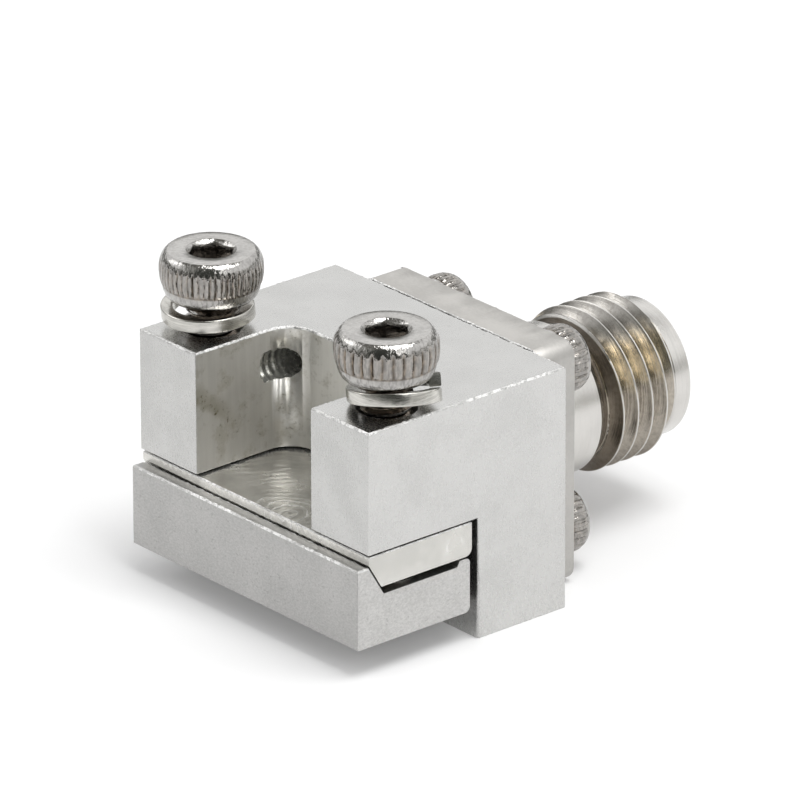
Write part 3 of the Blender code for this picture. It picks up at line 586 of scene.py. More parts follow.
def thread_points(turn, start, end, root, depth, pitch, crest_share, run_out=1.7):
    """Points of a right-hand thread down one side, crisp at the crest and faded at both ends.

    Its flanks are painted dark, oily and partly painted shade, most of all in front of the first crest, and
    its crest is clean.
    """
    crest = pitch * crest_share / 2
    lean = math.tan(math.radians(30))
    base = crest + depth * lean
    soft = depth * 0.05
    shape = (
        (-base - soft, 0, 0.9), (-base + soft / 2, soft * 0.9, 0.85),
        (-crest - 3 * soft * lean, depth - 3 * soft, 0.75), (-crest - soft * lean, depth - soft, 0.9),
        (-crest + soft * 0.3, depth, 0.0), (crest - soft * 0.3, depth, 0.0),
        (crest + soft * lean, depth - soft, 0.8), (base - soft / 2, soft * 0.9, 0.9), (base + soft, 0, 0.95),
    )
    points = []
    for tooth in range(-1, math.ceil((end - start) / pitch) + 1):
        middle = start + pitch * (tooth + turn + 0.5)
        for offset, rise, dark in shape:
            height = min(max(middle + offset, start), end)
            fade = min(height - start, end - height) * run_out
            first = dark and middle < start + pitch and offset < 0
            points.append((root + min(rise, fade), height, 1.0 if first else dark))
    return points


def prism(name, outline, bottom, top, finishes=()):
    """A prism along Z from an (x, y) outline, with a slot for each finish."""
    count = len(outline)
    points = [(x, y, z) for z in (bottom, top) for x, y in outline]
    faces = [tuple(range(count)), tuple(range(2 * count - 1, count - 1, -1))]
    faces += [(i, (i + 1) % count, (i + 1) % count + count, i + count) for i in range(count)]
    made = bpy.data.objects.new(name, mesh_from(name, points, faces))
    for finish in finishes:
        made.data.materials.append(finish_named(finish))
    return made


def block(name, outline, half_width, finishes):
    """A prism across X from a (y, z) outline."""
    made = prism(name, outline, -half_width, half_width, finishes)
    made.data.transform(Matrix(((0, 0, 1, 0), (1, 0, 0, 0), (0, 1, 0, 0), (0, 0, 0, 1))))
    return made


def arc(centre, radius, start, end, steps):
    """Points of an arc in degrees, both ends included."""
    angles = [math.radians(start + (end - start) * i / steps) for i in range(steps + 1)]
    return [(centre[0] + radius * math.cos(a), centre[1] + radius * math.sin(a)) for a in angles]


def cut(body, cutter, finish=None):
    """Cuts one object out of another; the cut faces take the finish, if one is named."""
    scene = bpy.context.scene
    for obj in (body, cutter):
        if obj.name not in scene.collection.objects:
            scene.collection.objects.link(obj)
    if finish:
        cutter.data.materials.append(finish_named(finish))
    modifier = body.modifiers.new("Cut", "BOOLEAN")
    modifier.object = cutter
    modifier.solver = "EXACT"
    modifier.material_mode = "TRANSFER"
    settle(body)
    bpy.data.objects.remove(cutter, do_unlink=True)


def settle(obj):
    """Applies an object's modifiers to its mesh."""
    scene = bpy.context.scene
    if obj.name not in scene.collection.objects:
        scene.collection.objects.link(obj)
    bpy.context.view_layer.update()
    evaluated = obj.evaluated_get(bpy.context.evaluated_depsgraph_get())
    obj.data = bpy.data.meshes.new_from_object(evaluated)
    obj.modifiers.clear()


def bevel(obj, width, share, segments=2, edge_slot=-1):
    """Rounds an object's sharp edges, each by the share of the width that share(start, end) gives."""
    form = bmesh.new()
    form.from_mesh(obj.data)
    layers = form.edges.layers.float
    weights = layers.get("bevel_weight_edge") or layers.new("bevel_weight_edge")
    for edge in form.edges:
        sharp = edge.calc_face_angle(0) > math.radians(30)
        edge[weights] = share(*(vert.co for vert in edge.verts)) if sharp else 0.0
    form.to_mesh(obj.data)
    form.free()
    modifier = obj.modifiers.new("Edges", "BEVEL")
    modifier.width = width
    modifier.segments = segments
    modifier.use_clamp_overlap = False
    modifier.material = edge_slot
    modifier.limit_method = "WEIGHT"
    settle(obj)


def break_edges(obj, width, top, slot):
    """Breaks an object's edges: wide and burred round its top face, narrow and plain elsewhere."""

    def share(start, end):
        return 1.0 if min(start.z, end.z) > top - TOUCHING else 0.35

    bevel(obj, width, share, edge_slot=slot)
    form = bmesh.new()
    form.from_mesh(obj.data)
    for face in form.faces:
        if face.material_index == slot and face.calc_center_median().z < top - width:
            face.material_index = 0
    runs = {}
    for edge in form.edges:
        cuts = round(edge.calc_length() / (0.48 * MM)) * 4
        if cuts and any(face.material_index == slot for face in edge.link_faces):
            runs.setdefault(cuts, []).append(edge)
    for cuts, edges in runs.items():
        bmesh.ops.subdivide_edges(
            form, edges=[edge for edge in edges if edge.is_valid], cuts=cuts - 1, use_only_quads=True
        )
    for vert in form.verts:
        if all(face.material_index == slot for face in vert.link_faces):
            vert.co += vert.normal * width * 0.45 * noise.noise(vert.co / MM * 7)
    form.to_mesh(obj.data)
    form.free()


def take_mesh(obj):
    """The mesh of a construction object, which is then removed."""
    mesh = obj.data
    bpy.data.objects.remove(obj, do_unlink=True)
    return mesh


def shaded_mesh(obj):
    """A construction object's mesh, shaded so that its large flat faces look flat."""
    obj.data.shade_smooth()
    modifier = obj.modifiers.new("Normals", "WEIGHTED_NORMAL")
    modifier.weight = 100
    modifier.keep_sharp = True
    settle(obj)
    return take_mesh(obj)


def cut_screw_holes(body, radius, bottom, top, finish=None):
    """Cuts the two clamp screws' holes through a block."""
    for side in SIDES:
        place = axis_of("clamp_screw_" + side)
        hole = Matrix.Translation((place.x, place.y, 0))
        cutter = round_cutter("screw_hole", radius, bottom - MM, top + MM, HOLE_FACETS, hole)
        cut(body, cutter, finish)


def round_cutter(name, radius, bottom, top, facets, place):
    side = [(0, top), (radius, top), (radius, bottom), (0, bottom)]
    return bpy.data.objects.new(name, turned(name, lambda turn: side, facets, place))


def coaxial():
    """Local Z along the coaxial axis."""
    pin_low, pin_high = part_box("launch_pin")
    return Matrix.Translation((0, 0, (pin_low.z + pin_high.z) / 2)) @ ALONG_Y


def axis_of(node):
    """Middle of a node's box."""
    lowest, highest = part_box(node)
    return (lowest + highest) / 2


# Operators


class ConnectorOperator(bpy.types.Operator):
    """Base of the operators that build the connector."""

    bl_options = {"REGISTER", "UNDO"}


class CONNECTOR_OT_housing(ConnectorOperator):
    """Build the notched housing with its screw holes and coaxial bore"""

    bl_idname = "connector.housing"
    bl_label = "Housing"

    def execute(self, context):
        sizes = context.scene.connector_block
        lowest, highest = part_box("housing")
        outline = [
            (lowest.y, sizes.ear_underside), (sizes.wall_front, sizes.ear_underside),
            (sizes.wall_front, 0), (highest.y, 0), (highest.y, highest.z), (lowest.y, highest.z),
        ]
        finishes = ("satin_plate", "burred_edge_painted_highlights", "milled_pocket", "tapped_thread")
        body = block("housing_block", outline, highest.x, finishes)

        def front_of_foot(start, end):
            ahead = max(abs(vert.y - sizes.wall_front) for vert in (start, end)) < TOUCHING
            return float(ahead and abs(start.x - end.x) < TOUCHING and min(start.z, end.z) < TOUCHING)

        bevel(body, sizes.foot_corner, front_of_foot, 6)
        half, radius = sizes.notch_half_width, sizes.notch_corner
        back = sizes.notch_back - radius
        notch = prism(
            "notch",
            [(-half, lowest.y - MM), (half, lowest.y - MM)]
            + arc((half - radius, back), radius, 0, 90, 24)
            + arc((-half + radius, back), radius, 90, 180, 24),
            sizes.ear_underside - MM, highest.z + MM,
        )
        cut(body, notch, "milled_pocket")
        cut_screw_holes(body, sizes.clearance_radius, sizes.ear_underside, highest.z, "milled_pocket")
        break_edges(body, sizes.edge_break, highest.z, 1)
        mouth, floor = highest.y, highest.y - 1.1 * MM
        back, bead_end = sizes.notch_back, sizes.notch_back + 1.6 * MM
        insulator, pin, bead = 2.05 * MM, 0.58 * MM, 0.85 * MM
        bore = [
            (0, mouth + MM), (insulator, mouth + MM), (insulator, floor), (pin, floor),
            (pin, bead_end), (bead, bead_end), (bead, back - MM), (0, back - MM),
        ]
        cutter = bpy.data.objects.new("bore", turned("bore", lambda turn: bore, 64, coaxial()))
        cut(body, cutter, "milled_pocket")
        for name in FLANGE_SCREWS:
            self.cut_tapped_hole(body, sizes, name, mouth)
        piece_from(shaded_mesh(body), "housing_block", finishes, "housing")
        return {"FINISHED"}

    def cut_tapped_hole(self, body, sizes, name, mouth):
        place = axis_of("flange_screw_" + name)
        end = mouth - sizes.tapped_depth
        root, depth = 0.62 * MM, 0.035 * MM
        step = sizes.tapped_pitch / 6
        rows = math.ceil((sizes.tapped_depth + 0.5 * MM) / step)

        def column(turn):
            side = [(0, end - 0.1 * MM), (root * 0.55, end - 0.07 * MM), (root - depth, end + 0.1 * MM)]
            for row in range(4, rows):
                wave = 0.5 + 0.5 * math.cos(FULL_TURN * (row / 6 - turn))
                side.append((root - depth * wave, end + row * step))
            return side + [(root - depth, mouth + MM), (0, mouth + MM)]

        mesh = turned("tapped_hole", column, 40, Matrix.Translation((place.x, 0, place.z)) @ ALONG_Y)
        cut(body, bpy.data.objects.new("tapped_hole", mesh), "tapped_thread")


# The support plate's upright front face, and how far the slope below it leans in: in all, and by height
PLATE_FACE = 0.33 * MM
PLATE_UNDERCUT = 0.58 * MM
PLATE_SLOPE = 0.58 / 0.97


class CONNECTOR_OT_support_plate(ConnectorOperator):
    """Build the plate that carries the board, with its undercut front"""

    bl_idname = "connector.support_plate"
    bl_label = "Support plate"

    def execute(self, context):
        sizes = context.scene.connector_block
        lowest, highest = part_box("support_plate")
        corner = 0.3 * MM
        outline = (
            [
                (lowest.y, highest.z), (lowest.y, highest.z - PLATE_FACE),
                (lowest.y + PLATE_UNDERCUT, lowest.z),
            ]
            + arc((highest.y - corner, lowest.z + corner), corner, -90, 0, 10)
            + [(highest.y, highest.z)]
        )
        finishes = ("swirled_plate", "burred_edge_painted_highlights")
        body = block("support_plate_milled", outline, highest.x, finishes)
        cut_screw_holes(body, sizes.clearance_radius, lowest.z, highest.z)
        break_edges(body, sizes.edge_break * 0.7, highest.z, 1)
        piece_from(
            shaded_mesh(body), "support_plate_milled", finishes, "support_plate"
        )
        return {"FINISHED"}


class CONNECTOR_OT_clamp_plate(ConnectorOperator):
    """Build the clamp plate with its hooked front lip and rear lip"""

    bl_idname = "connector.clamp_plate"
    bl_label = "Clamp plate"

    def execute(self, context):
        sizes = context.scene.connector_block
        lowest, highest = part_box("clamp_plate")
        plate_low, plate_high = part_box("support_plate")
        lip_top = plate_low.z - 0.08 * MM
        floor = plate_low.z - 0.3 * MM
        lip_front = highest.y - 0.5 * MM
        face = plate_high.z - PLATE_FACE
        gap = 0.05 * MM
        heel, lip = 0.25 * MM, 0.2 * MM
        outline = (
            [(lowest.y, highest.z), (lowest.y, lowest.z)]
            + arc((highest.y - heel, lowest.z + heel), heel, -90, 0, 10)
            + arc((highest.y - lip, lip_top - lip), lip, 0, 90, 10)
            + [
                (lip_front, lip_top), (lip_front - (lip_top - floor) / 2, floor),
                (plate_low.y + (face - floor) * PLATE_SLOPE - gap, floor),
                (plate_low.y + (face - highest.z) * PLATE_SLOPE - gap, highest.z),
            ]
        )
        finishes = ("ground_plate", "burred_edge_painted_highlights")
        body = block("clamp_plate_ground", outline, highest.x, finishes)
        cut_screw_holes(body, 1.0 * MM, lowest.z, highest.z)
        break_edges(body, sizes.edge_break, highest.z, 1)
        piece_from(shaded_mesh(body), "clamp_plate_ground", finishes, "clamp_plate")
        return {"FINISHED"}


# Head outline as (height, radius) shares of the head's own, with how deep the knurl is there and how
# dark it is painted: oily, and painted shade under the head's rim and where the knurl begins
HEAD_SHAPE = (
    (0.0, 0.8, 0, 0.8), (0.012, 0.832, 0, 0.5), (0.045, 0.862, 0, 0.1), (0.083, 0.889, 0, 0),
    (0.14, 0.91, 0, 0), (0.194, 0.929, 0, 0), (0.26, 0.94, 0, 0.1), (0.285, 0.943, 0.1, 0.7),
    (0.31, 0.955, 0.5, 0.45), (0.335, 0.968, 0.9, 0.1), (0.375, 0.978, 1, 0), (0.43, 0.987, 1, 0),
    (0.5, 0.996, 1, 0), (0.57, 1.0, 1, 0), (0.63, 0.999, 1, 0), (0.69, 0.996, 1, 0), (0.735, 0.991, 0.95, 0),
    (0.77, 0.985, 0.8, 0), (0.805, 0.976, 0.55, 0), (0.84, 0.964, 0.3, 0), (0.87, 0.951, 0.12, 0),
    (0.898, 0.936, 0.03, 0), (0.925, 0.919, 0, 0), (0.948, 0.9, 0, 0), (0.968, 0.88, 0, 0),
    (0.984, 0.86, 0, 0), (0.994, 0.843, 0, 0), (1.0, 0.828, 0, 0),
)


def knurl(ridges, depth, width, uneven, seed, oil_and_shade):
    """A head's grooves: gives how deep one is at a share of the turn and a level, and how dark it is
    painted, oily and partly painted shade.
    """

    def groove(part, level):
        ridge = part * ridges
        number = math.floor(ridge) % ridges
        first = noise.noise(Vector((number * 1.71, seed, 0.5)))
        second = noise.noise(Vector((number * 2.33, seed, level * 4)))
        third = noise.noise(Vector((number * 0.91, seed + 7, level * 1.5)))
        phase = abs(ridge % 1 - 0.5 - 0.25 * uneven * second)
        cut = max(0.0, 1 - phase / (width * (1 + 0.6 * uneven * third)))
        share = max(0.0, 1 + uneven * first) * cut
        return depth * share, oil_and_shade * share

    return groove


def cap_screw(name, node, height, radius, across, pitch, facets, place, groove):
    """A knurled cap screw standing on its local Z, whose head's underside is at height zero."""
    lowest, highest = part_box(node)
    length = max(highest - lowest) - height
    shank = radius * (0.5 if "clamp" in node else 0.445)

    def column(part):
        sector = math.radians(60)
        bearing = part * FULL_TURN % sector - sector / 2
        flat = across / 2 / math.cos(bearing)
        rim = across / math.sqrt(3) * 1.06
        side = [(0, -length), (shank * 0.72, -length)]
        side += thread_points(
            part, -length + shank * 0.1, -0.25 * MM, shank * 0.8, shank * 0.2, pitch, 0.2, 1.2
        )
        # The shank just under the head is painted dark: oily, and painted shade under the head
        side += [(shank * 0.8, -0.2 * MM, 0.9), (shank * 0.86, -0.04 * MM, 0.9), (shank * 0.95, 0, 0.9)]
        for level, spread, cut, dark in HEAD_SHAPE:
            depth, oil_and_shade = groove(part, level)
            # Grooves are painted darker: oily, and painted shade in the creases
            grime_and_shade = min(1.0, dark + (0.3 + oil_and_shade) * cut)
            side.append((radius * spread - depth * cut, height * level, grime_and_shade))
        lead = max(rim - flat, 0) * 0.6
        side += [
            (rim + 0.02 * MM, height), (rim, height - 0.01 * MM),
            (flat + 0.01 * MM, height - lead - 0.02 * MM),
            # The socket's inside is painted dark: oily, and painted shade in the recess
            (flat, height - lead - 0.04 * MM), (flat * 0.995, height * 0.78, 0.25),
            (flat * 0.99, height * 0.6, 0.4), (flat * 0.98, height * 0.44, 0.55),
            (flat * 0.9, height * 0.41, 0.65), (flat * 0.5, height * 0.37, 0.5), (0, height * 0.33, 0.5),
        ]
        return side

    mesh = turned(name, column, facets, place, 38)
    return piece_from(mesh, name, ("polished_steel",), node)


class CONNECTOR_OT_clamp_screws(ConnectorOperator):
    """Build the two knurled screws that pull the clamp plate up"""

    bl_idname = "connector.clamp_screws"
    bl_label = "Clamp screws"

    def execute(self, context):
        sizes = context.scene.connector_screws
        height, radius = 1.8 * MM, 1.9 * MM
        left, right = sizes.clamp_ridges_left, sizes.clamp_ridges_right
        looks = {
            "left": (9, left * 7, knurl(left, 0.055 * MM, 0.24, 0.9, 3.1, 0.5)),
            "right": (21, right * 12, knurl(right, 0.07 * MM, 0.27, 0.35, 8.4, 0.7)),
        }
        for side, (turn, facets, groove) in looks.items():
            node = "clamp_screw_" + side
            middle = axis_of(node)
            seat = Matrix.Translation((middle.x, middle.y, high(node).z - height))
            cap_screw(
                f"clamp_screw_{side}_knurled", node, height, radius, sizes.clamp_socket, sizes.clamp_pitch,
                facets, seat @ Matrix.Rotation(math.radians(turn), 4, "Z"), groove,
            )
        return {"FINISHED"}


class CONNECTOR_OT_flange_screws(ConnectorOperator):
    """Build the four small screws that hold the jack's flange"""

    bl_idname = "connector.flange_screws"
    bl_label = "Flange screws"

    def execute(self, context):
        sizes = context.scene.connector_screws
        height, radius, pitch = 1.3 * MM, 1.28 * MM, 0.3 * MM
        for i, name in enumerate(FLANGE_SCREWS):
            node = "flange_screw_" + name
            middle = axis_of(node)
            seat = Matrix.Translation((middle.x, high(node).y - height, middle.z)) @ ALONG_Y
            cap_screw(
                f"flange_screw_{name}_knurled", node, height, radius, sizes.flange_socket, pitch,
                sizes.flange_ridges * 10, seat @ Matrix.Rotation(math.radians(17 * i), 4, "Z"),
                knurl(sizes.flange_ridges, 0.055 * MM, 0.3, 0.4, 20.0 + i, 0.1),
            )
        return {"FINISHED"}


class CONNECTOR_OT_spring_washers(ConnectorOperator):
    """Build the two split washers, each one turn of a left-hand helix"""

    bl_idname = "connector.spring_washers"
    bl_label = "Spring washers"

    def execute(self, context):
        sizes = context.scene.connector_screws
        poses = {
            "left": (139, (0.76, -0.65, 0), 5.5, (-0.28, -0.33, 0)),
            "right": (45, (-0.405, -0.914, 0), 15.6, (0.6, 0.55, 0)),
        }
        for side, (start, axis, lean, slide) in poses.items():
            screw = axis_of("clamp_screw_" + side)
            middle = axis_of("spring_washer_" + side)
            slip = Vector(slide) * sizes.washer_slack
            place = (
                Matrix.Translation((screw.x + slip.x, screw.y + slip.y, middle.z))
                @ Matrix.Rotation(math.radians(lean), 4, Vector(axis))
                @ Matrix.Rotation(math.radians(start), 4, "Z")
            )
            mesh = self.washer("spring_washer_" + side + "_split", sizes, place)
            levels = [vertex.co.z for vertex in mesh.vertices]
            mesh.transform(Matrix.Translation((0, 0, middle.z - (min(levels) + max(levels)) / 2)))
            piece_from(mesh, mesh.name, ("spring_steel",), "spring_washer_" + side)
        return {"FINISHED"}

    def washer(self, name, sizes, place):
        inner = sizes.washer_bore
        outer = inner + sizes.washer_wall
        half = sizes.washer_thickness / 2
        soft = 0.06 * MM
        section = (
            arc((inner + soft, -half + soft), soft, 180, 270, 4)
            + arc((outer - soft, -half + soft), soft, -90, 0, 4)
            + arc((outer - soft, half - soft), soft, 0, 90, 4)
            + arc((inner + soft, half - soft), soft, 90, 180, 4)
        )
        steps = 160
        count = len(section)
        points = []
        faces = []
        for i in range(steps + 1):
            part = i / steps
            angle = -part * (FULL_TURN - math.radians(9))
            rise = sizes.washer_spring * (part - 0.5)
            for radius, z in section:
                points.append(
                    place @ Vector((radius * math.cos(angle), radius * math.sin(angle), z + rise))
                )
            if i:
                first = (i - 1) * count
                for j in range(count):
                    after = (j + 1) % count
                    faces.append((first + j, first + after, first + count + after, first + count + j))
        faces.append(tuple(range(count)))
        faces.append(tuple(range(steps * count, (steps + 1) * count)))
        return shade(mesh_from(name, points, faces), 40)


class CONNECTOR_OT_jack(ConnectorOperator):
    """Build the jack: flange, neck, thread and nose, bored through"""

    bl_idname = "connector.jack"
    bl_label = "Jack"

    def execute(self, context):
        sizes = context.scene.connector_jack
        lowest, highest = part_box("jack_body")
        flange_back = lowest.y + 1.66 * MM
        column = self.column(sizes, lowest.y, flange_back, highest.y)
        barrel = turned("jack_barrel", column, 192, coaxial(), 30)
        flange = self.flange(sizes, lowest, highest, flange_back)
        for face in barrel.polygons:
            face.material_index = 2
        form = bmesh.new()
        form.from_mesh(flange)
        form.from_mesh(barrel)
        mesh = bpy.data.meshes.new("jack_turned")
        form.to_mesh(mesh)
        form.free()
        finishes = ("milled_flange", "burred_edge_painted_highlights", "turned_steel")
        piece_from(mesh, "jack_turned", finishes, "jack_body")
        return {"FINISHED"}

    def column(self, sizes, front, flange_back, end):
        """Outside of the barrel from the flange to the nose, then back down its bore."""
        neck_end = flange_back + sizes.neck_length
        start = neck_end + sizes.relief_length
        thread_end = start + sizes.thread_length
        nose = sizes.thread_radius - sizes.thread_depth
        chamfer = 0.18 * MM
        hub = 2.7 * MM
        small = 0.03 * MM
        reference = end - sizes.bore_depth

        def side(turn):
            points = [
                (hub, front + small), (hub, flange_back - 0.3 * MM),
                (sizes.neck_radius, flange_back - 0.3 * MM), (sizes.neck_radius, neck_end - 0.16 * MM),
                (sizes.neck_radius - small, neck_end - 0.13 * MM),
                (sizes.neck_radius - 0.1 * MM, neck_end),
                # The relief is painted dark: oily, and painted shade in the groove
                (sizes.relief_radius + 0.1 * MM, neck_end + 0.16 * MM, 0.8),
                (sizes.relief_radius, neck_end + 0.2 * MM, 1.0), (sizes.relief_radius, start - small, 1.0),
                (sizes.relief_radius + small, start, 0.9),
            ]
            points += thread_points(
                turn, start, thread_end, nose, sizes.thread_depth, sizes.thread_pitch, 0.08
            )
            points += [
                (nose - small, thread_end + small), (nose - small, thread_end + 0.12 * MM),
                (nose, thread_end + 0.15 * MM), (nose, end - chamfer - small),
                (nose - 0.2 * small, end - chamfer), (nose - chamfer, end - small),
                (nose - chamfer - small, end), (sizes.bore_radius + 2 * small, end),
                (sizes.bore_radius, end - 2 * small), (sizes.bore_radius, reference),
                (sizes.step_radius + small, reference), (sizes.step_radius, reference - small),
                (sizes.step_radius, front + small), (hub, front + small),
            ]
            return points

        return side

    def flange(self, sizes, lowest, highest, back):
        corner = sizes.flange_corner
        outline = (
            arc((highest.x - corner, lowest.z + corner), corner, -90, 0, 12)
            + arc((highest.x - corner, highest.z - corner), corner, 0, 90, 12)
            + arc((lowest.x + corner, highest.z - corner), corner, 90, 180, 12)
            + arc((lowest.x + corner, lowest.z + corner), corner, 180, 270, 12)
        )
        body = prism("jack_flange", outline, -back, -lowest.y, ("milled_flange", "burred_edge_painted_highlights"))
        body.data.transform(Matrix.Rotation(math.radians(90), 4, "X"))
        bore, hole_radius, reach = 2.6 * MM, 0.72 * MM, 20 * MM
        cut(body, round_cutter("flange_bore", bore, -MM, reach, HOLE_FACETS, coaxial()))
        for name in FLANGE_SCREWS:
            place = axis_of("flange_screw_" + name)
            hole = round_cutter(
                "flange_hole", hole_radius, -MM, reach, 48,
                Matrix.Translation((place.x, 0, place.z)) @ ALONG_Y,
            )
            cut(body, hole)
        break_edges(body, 0.08 * MM, highest.z, 1)
        return shaded_mesh(body)


class CONNECTOR_OT_coaxial_line(ConnectorOperator):
    """Build the contact, pin, insulator and beads on the coaxial line"""

    bl_idname = "connector.coaxial_line"
    bl_label = "Coaxial line"

    def execute(self, context):
        self.ring("jack_insulator", 0.685 * MM, 2.05 * MM)
        self.ring("support_bead", 0.47 * MM, 2.0 * MM)
        self.ring("launch_bead", 0.3 * MM, 0.8 * MM)
        self.contact()
        self.pin()
        return {"FINISHED"}

    def ring(self, node, hole, outer):
        start, end = low(node).y, high(node).y
        soft = 0.05 * MM
        side = [
            (hole, end - soft), (hole + soft, end), (outer - soft, end), (outer, end - soft),
            (outer, start + soft), (outer - soft, start), (hole + soft, start), (hole, start + soft),
            (hole, end - soft),
        ]
        mesh = turned(node + "_turned", lambda turn: side, 96, coaxial())
        piece_from(mesh, mesh.name, ("white_insulator",), node)

    def contact(self):
        start, end = low("centre_contact").y, high("centre_contact").y
        shoulder = high("support_bead").y + 0.05 * MM
        radius, bore, slot_depth = 0.635 * MM, 0.47 * MM, 2.2 * MM
        neck, socket, socket_depth = 0.42 * MM, 0.3 * MM, 1.6 * MM
        side = [
            (0, end - slot_depth), (bore, end - slot_depth + bore / 2), (bore, end - 0.16 * MM),
            (bore * 1.15, end), (radius - 0.05 * MM, end), (radius, end - 0.08 * MM),
            (radius, shoulder + 0.04 * MM), (radius - 0.04 * MM, shoulder), (neck, shoulder),
            (neck, start + 0.03 * MM), (neck - 0.03 * MM, start), (socket, start),
            (socket, start + socket_depth), (0, start + socket_depth),
        ]
        body = bpy.data.objects.new("contact", turned("contact", lambda turn: side, 96, coaxial()))
        bpy.context.scene.collection.objects.link(body)
        half = 0.08 * MM
        for turn in (45, 135):
            slot = prism(
                "slot", [(-MM, -half), (MM, -half), (MM, half), (-MM, half)],
                end - slot_depth * 0.85, end + MM,
            )
            slot.data.transform(coaxial() @ Matrix.Rotation(math.radians(turn), 4, "Z"))
            cut(body, slot)
        mesh = shade(take_mesh(body), 32)
        mesh.name = "centre_contact_slotted"
        piece_from(mesh, mesh.name, ("gold_plate",), "centre_contact")

    def pin(self):
        start, end = low("launch_pin").y, high("launch_pin").y
        step = start + 1.6 * MM
        thick, thin = 0.25 * MM, 0.15 * MM
        side = [
            (0, end), (0.17 * MM, end), (thick, end - 0.12 * MM), (thick, step + 0.03 * MM),
            (0.22 * MM, step), (thin, step), (thin, start + 0.03 * MM), (0.12 * MM, start), (0, start),
        ]
        mesh = turned("launch_pin_turned", lambda turn: side, 48, coaxial())
        piece_from(mesh, mesh.name, ("gold_plate",), "launch_pin")


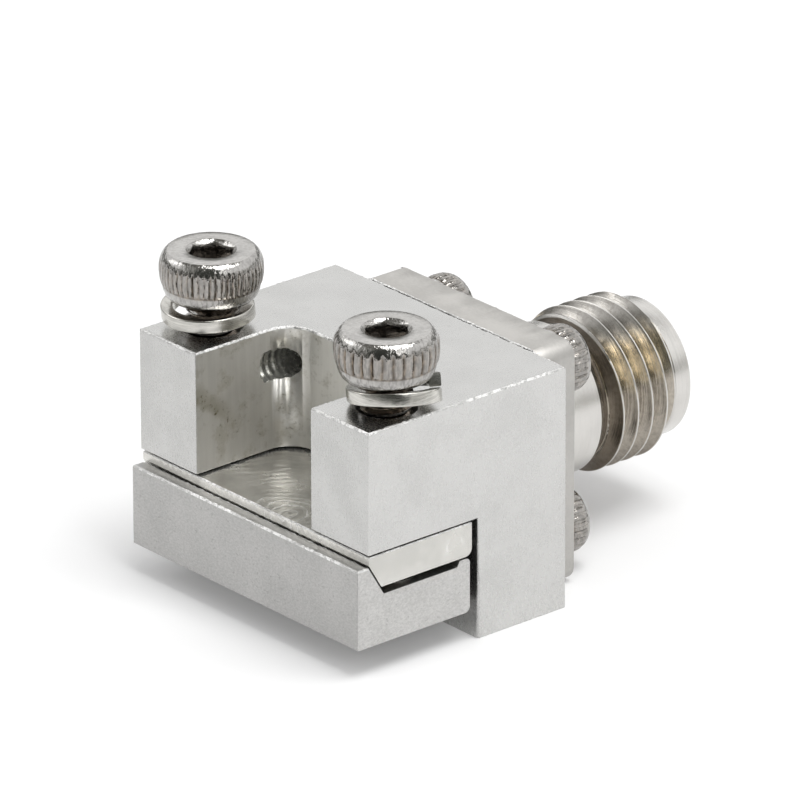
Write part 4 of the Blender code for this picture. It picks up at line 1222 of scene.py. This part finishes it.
class CONNECTOR_OT_stage(ConnectorOperator):
    """Set up the floor, world, lamps and camera"""

    bl_idname = "connector.stage"
    bl_label = "Stage"

    def execute(self, context):
        stage = context.scene.connector_stage
        context.scene.view_settings.view_transform = "Standard"
        self.floor(stage)
        self.world(context, stage)
        middle = Vector((0, 0, 5 * MM))
        for name, place, width, height, power in (
            ("overhead_lamp", (90, 30, 330), 0.2, 0.2, stage.overhead),
            ("left_lamp", (-265, -150, 228), 0.14, 0.14, stage.side),
            ("right_lamp", (300, -60, 200), 0.1, 0.16, stage.side),
        ):
            self.lamp(context, name, Vector(place) * MM, middle, width, height, power)
        self.camera(context, stage)
        return {"FINISHED"}

    def seen(self, graph):
        """1 for rays from the camera and for those that a glossy or clear surface sends on."""
        rays = [
            graph.node("ShaderNodeLightPath", output=output)
            for output in ("Is Camera Ray", "Is Glossy Ray", "Is Transmission Ray")
        ]
        return graph.node(
            "ShaderNodeMath", {"operation": "MINIMUM"}, {0: rays[0] + rays[1] + rays[2], 1: 1.0}
        )

    def floor(self, stage):
        reach = 0.5
        mesh = bpy.data.meshes.new("floor")
        corners = [(-reach, -reach, 0), (reach, -reach, 0), (reach, reach, 0), (-reach, reach, 0)]
        mesh.from_pydata(corners, [], [(0, 1, 2, 3)])
        floor = bpy.data.objects.new("floor", mesh)
        bpy.context.scene.collection.objects.link(floor)
        finish = Finish("floor_white")
        finish.set("Base Color", (0.8, 0.8, 0.8))
        finish.set("Roughness", 0.9)
        finish.set("Specular IOR Level", 0.0)
        finish.set("Emission Color", (1.0, 1.0, 1.0))
        finish.set("Emission Strength", self.seen(finish) * stage.floor_glow)
        mesh.materials.append(finish.material)

    def world(self, context, stage):
        world = bpy.data.worlds.new("studio")
        context.scene.world = world
        graph = Graph(world)
        direction = graph.node("ShaderNodeTexCoord", output="Generated")
        across, along, height = (graph.along(direction, axis) for axis in "XYZ")
        # A pale room: bright panels over a dim skirting, a dim ceiling, and one side that is dark
        beside = graph.smooth(along, -0.6, -0.1) + 1 - graph.smooth(across, -0.5, -0.2)
        panels = graph.mix(beside, (0.4, 0.4, 0.38), (1.12, 1.12, 1.12))
        skirting = graph.mix(graph.smooth(across, 0.0, 0.4), (0.17, 0.17, 0.155), (0.62, 0.62, 0.6))
        walls = graph.mix(graph.smooth(height, 0.13, 0.31), skirting, panels)
        ceiling = graph.mix(graph.smooth(height, 0.76, 0.84), walls, (0.22, 0.215, 0.2))
        front = graph.node(
            "ShaderNodeVectorMath", {"operation": "DOT_PRODUCT"}, {0: direction, 1: (0.697, -0.597, 0.395)},
            "Value",
        )
        room = graph.mix(graph.smooth(front, 0.7, 0.86), ceiling, (0.07, 0.074, 0.066))
        ambient = (stage.ambient,) * 3
        lit = graph.mix(graph.node("ShaderNodeLightPath", output="Is Glossy Ray"), ambient, room)
        colour = graph.mix(graph.node("ShaderNodeLightPath", output="Is Camera Ray"), lit, (1.0, 1.0, 1.0))
        shader = graph.tree.nodes["Background"]
        graph.feed(shader.inputs["Color"], colour)
        graph.feed(shader.inputs["Strength"], 1.0)

    def lamp(self, context, name, place, aim, width, height, power):
        light = bpy.data.lights.new(name, "AREA")
        light.shape = "RECTANGLE"
        light.size = width
        light.size_y = height
        light.energy = power
        lamp = bpy.data.objects.new(name, light)
        lamp.location = place
        lamp.rotation_euler = (aim - place).to_track_quat("-Z", "Y").to_euler()
        context.scene.collection.objects.link(lamp)

    def camera(self, context, stage):
        turn, rise = stage.azimuth, stage.elevation
        back = Vector((math.sin(turn) * math.cos(rise), -math.cos(turn) * math.cos(rise), math.sin(rise)))
        right = Vector((math.cos(turn), math.sin(turn), 0))
        up = back.cross(right)
        tilted_right = right * math.cos(stage.roll) + up * math.sin(stage.roll)
        tilted_up = up * math.cos(stage.roll) - right * math.sin(stage.roll)
        place = Matrix((tilted_right, tilted_up, back)).transposed().to_4x4()
        place.translation = Vector(stage.target) + back * stage.distance
        data = bpy.data.cameras.new("camera")
        data.sensor_width = 36
        data.lens = stage.focal_length
        data.clip_start = 0.01
        data.clip_end = 5
        camera = bpy.data.objects.new("camera", data)
        camera.matrix_world = place
        context.scene.collection.objects.link(camera)
        context.scene.camera = camera


STEPS = (
    CONNECTOR_OT_housing,
    CONNECTOR_OT_support_plate,
    CONNECTOR_OT_clamp_plate,
    CONNECTOR_OT_clamp_screws,
    CONNECTOR_OT_spring_washers,
    CONNECTOR_OT_jack,
    CONNECTOR_OT_flange_screws,
    CONNECTOR_OT_coaxial_line,
    CONNECTOR_OT_stage,
)
SETTINGS = {
    "connector_block": ConnectorBlockSizes,
    "connector_screws": ConnectorScrewSizes,
    "connector_jack": ConnectorJackSizes,
    "connector_finishes": ConnectorFinishes,
    "connector_stage": ConnectorStage,
}


class CONNECTOR_PT_panel(bpy.types.Panel):
    """Lists the connector's sizes, finishes and building steps."""

    bl_idname = "CONNECTOR_PT_panel"
    bl_label = "Edge-mount connector"
    bl_space_type = "VIEW_3D"
    bl_region_type = "UI"
    bl_category = "Connector"

    def draw(self, context):
        for name, kind in SETTINGS.items():
            box = self.layout.box()
            settings = getattr(context.scene, name)
            for item in kind.__annotations__:
                box.prop(settings, item)
        for step in STEPS:
            self.layout.operator(step.bl_idname)


def register():
    for name, kind in SETTINGS.items():
        bpy.utils.register_class(kind)
        setattr(bpy.types.Scene, name, PointerProperty(type=kind))
    for step in STEPS:
        bpy.utils.register_class(step)
    bpy.utils.register_class(CONNECTOR_PT_panel)


def unregister():
    bpy.utils.unregister_class(CONNECTOR_PT_panel)
    for step in reversed(STEPS):
        bpy.utils.unregister_class(step)
    for name, kind in SETTINGS.items():
        delattr(bpy.types.Scene, name)
        bpy.utils.unregister_class(kind)


def main():
    register()
    for step in STEPS:
        group, name = step.bl_idname.split(".")
        getattr(getattr(bpy.ops, group), name)()


if __name__ == "__main__":
    main()
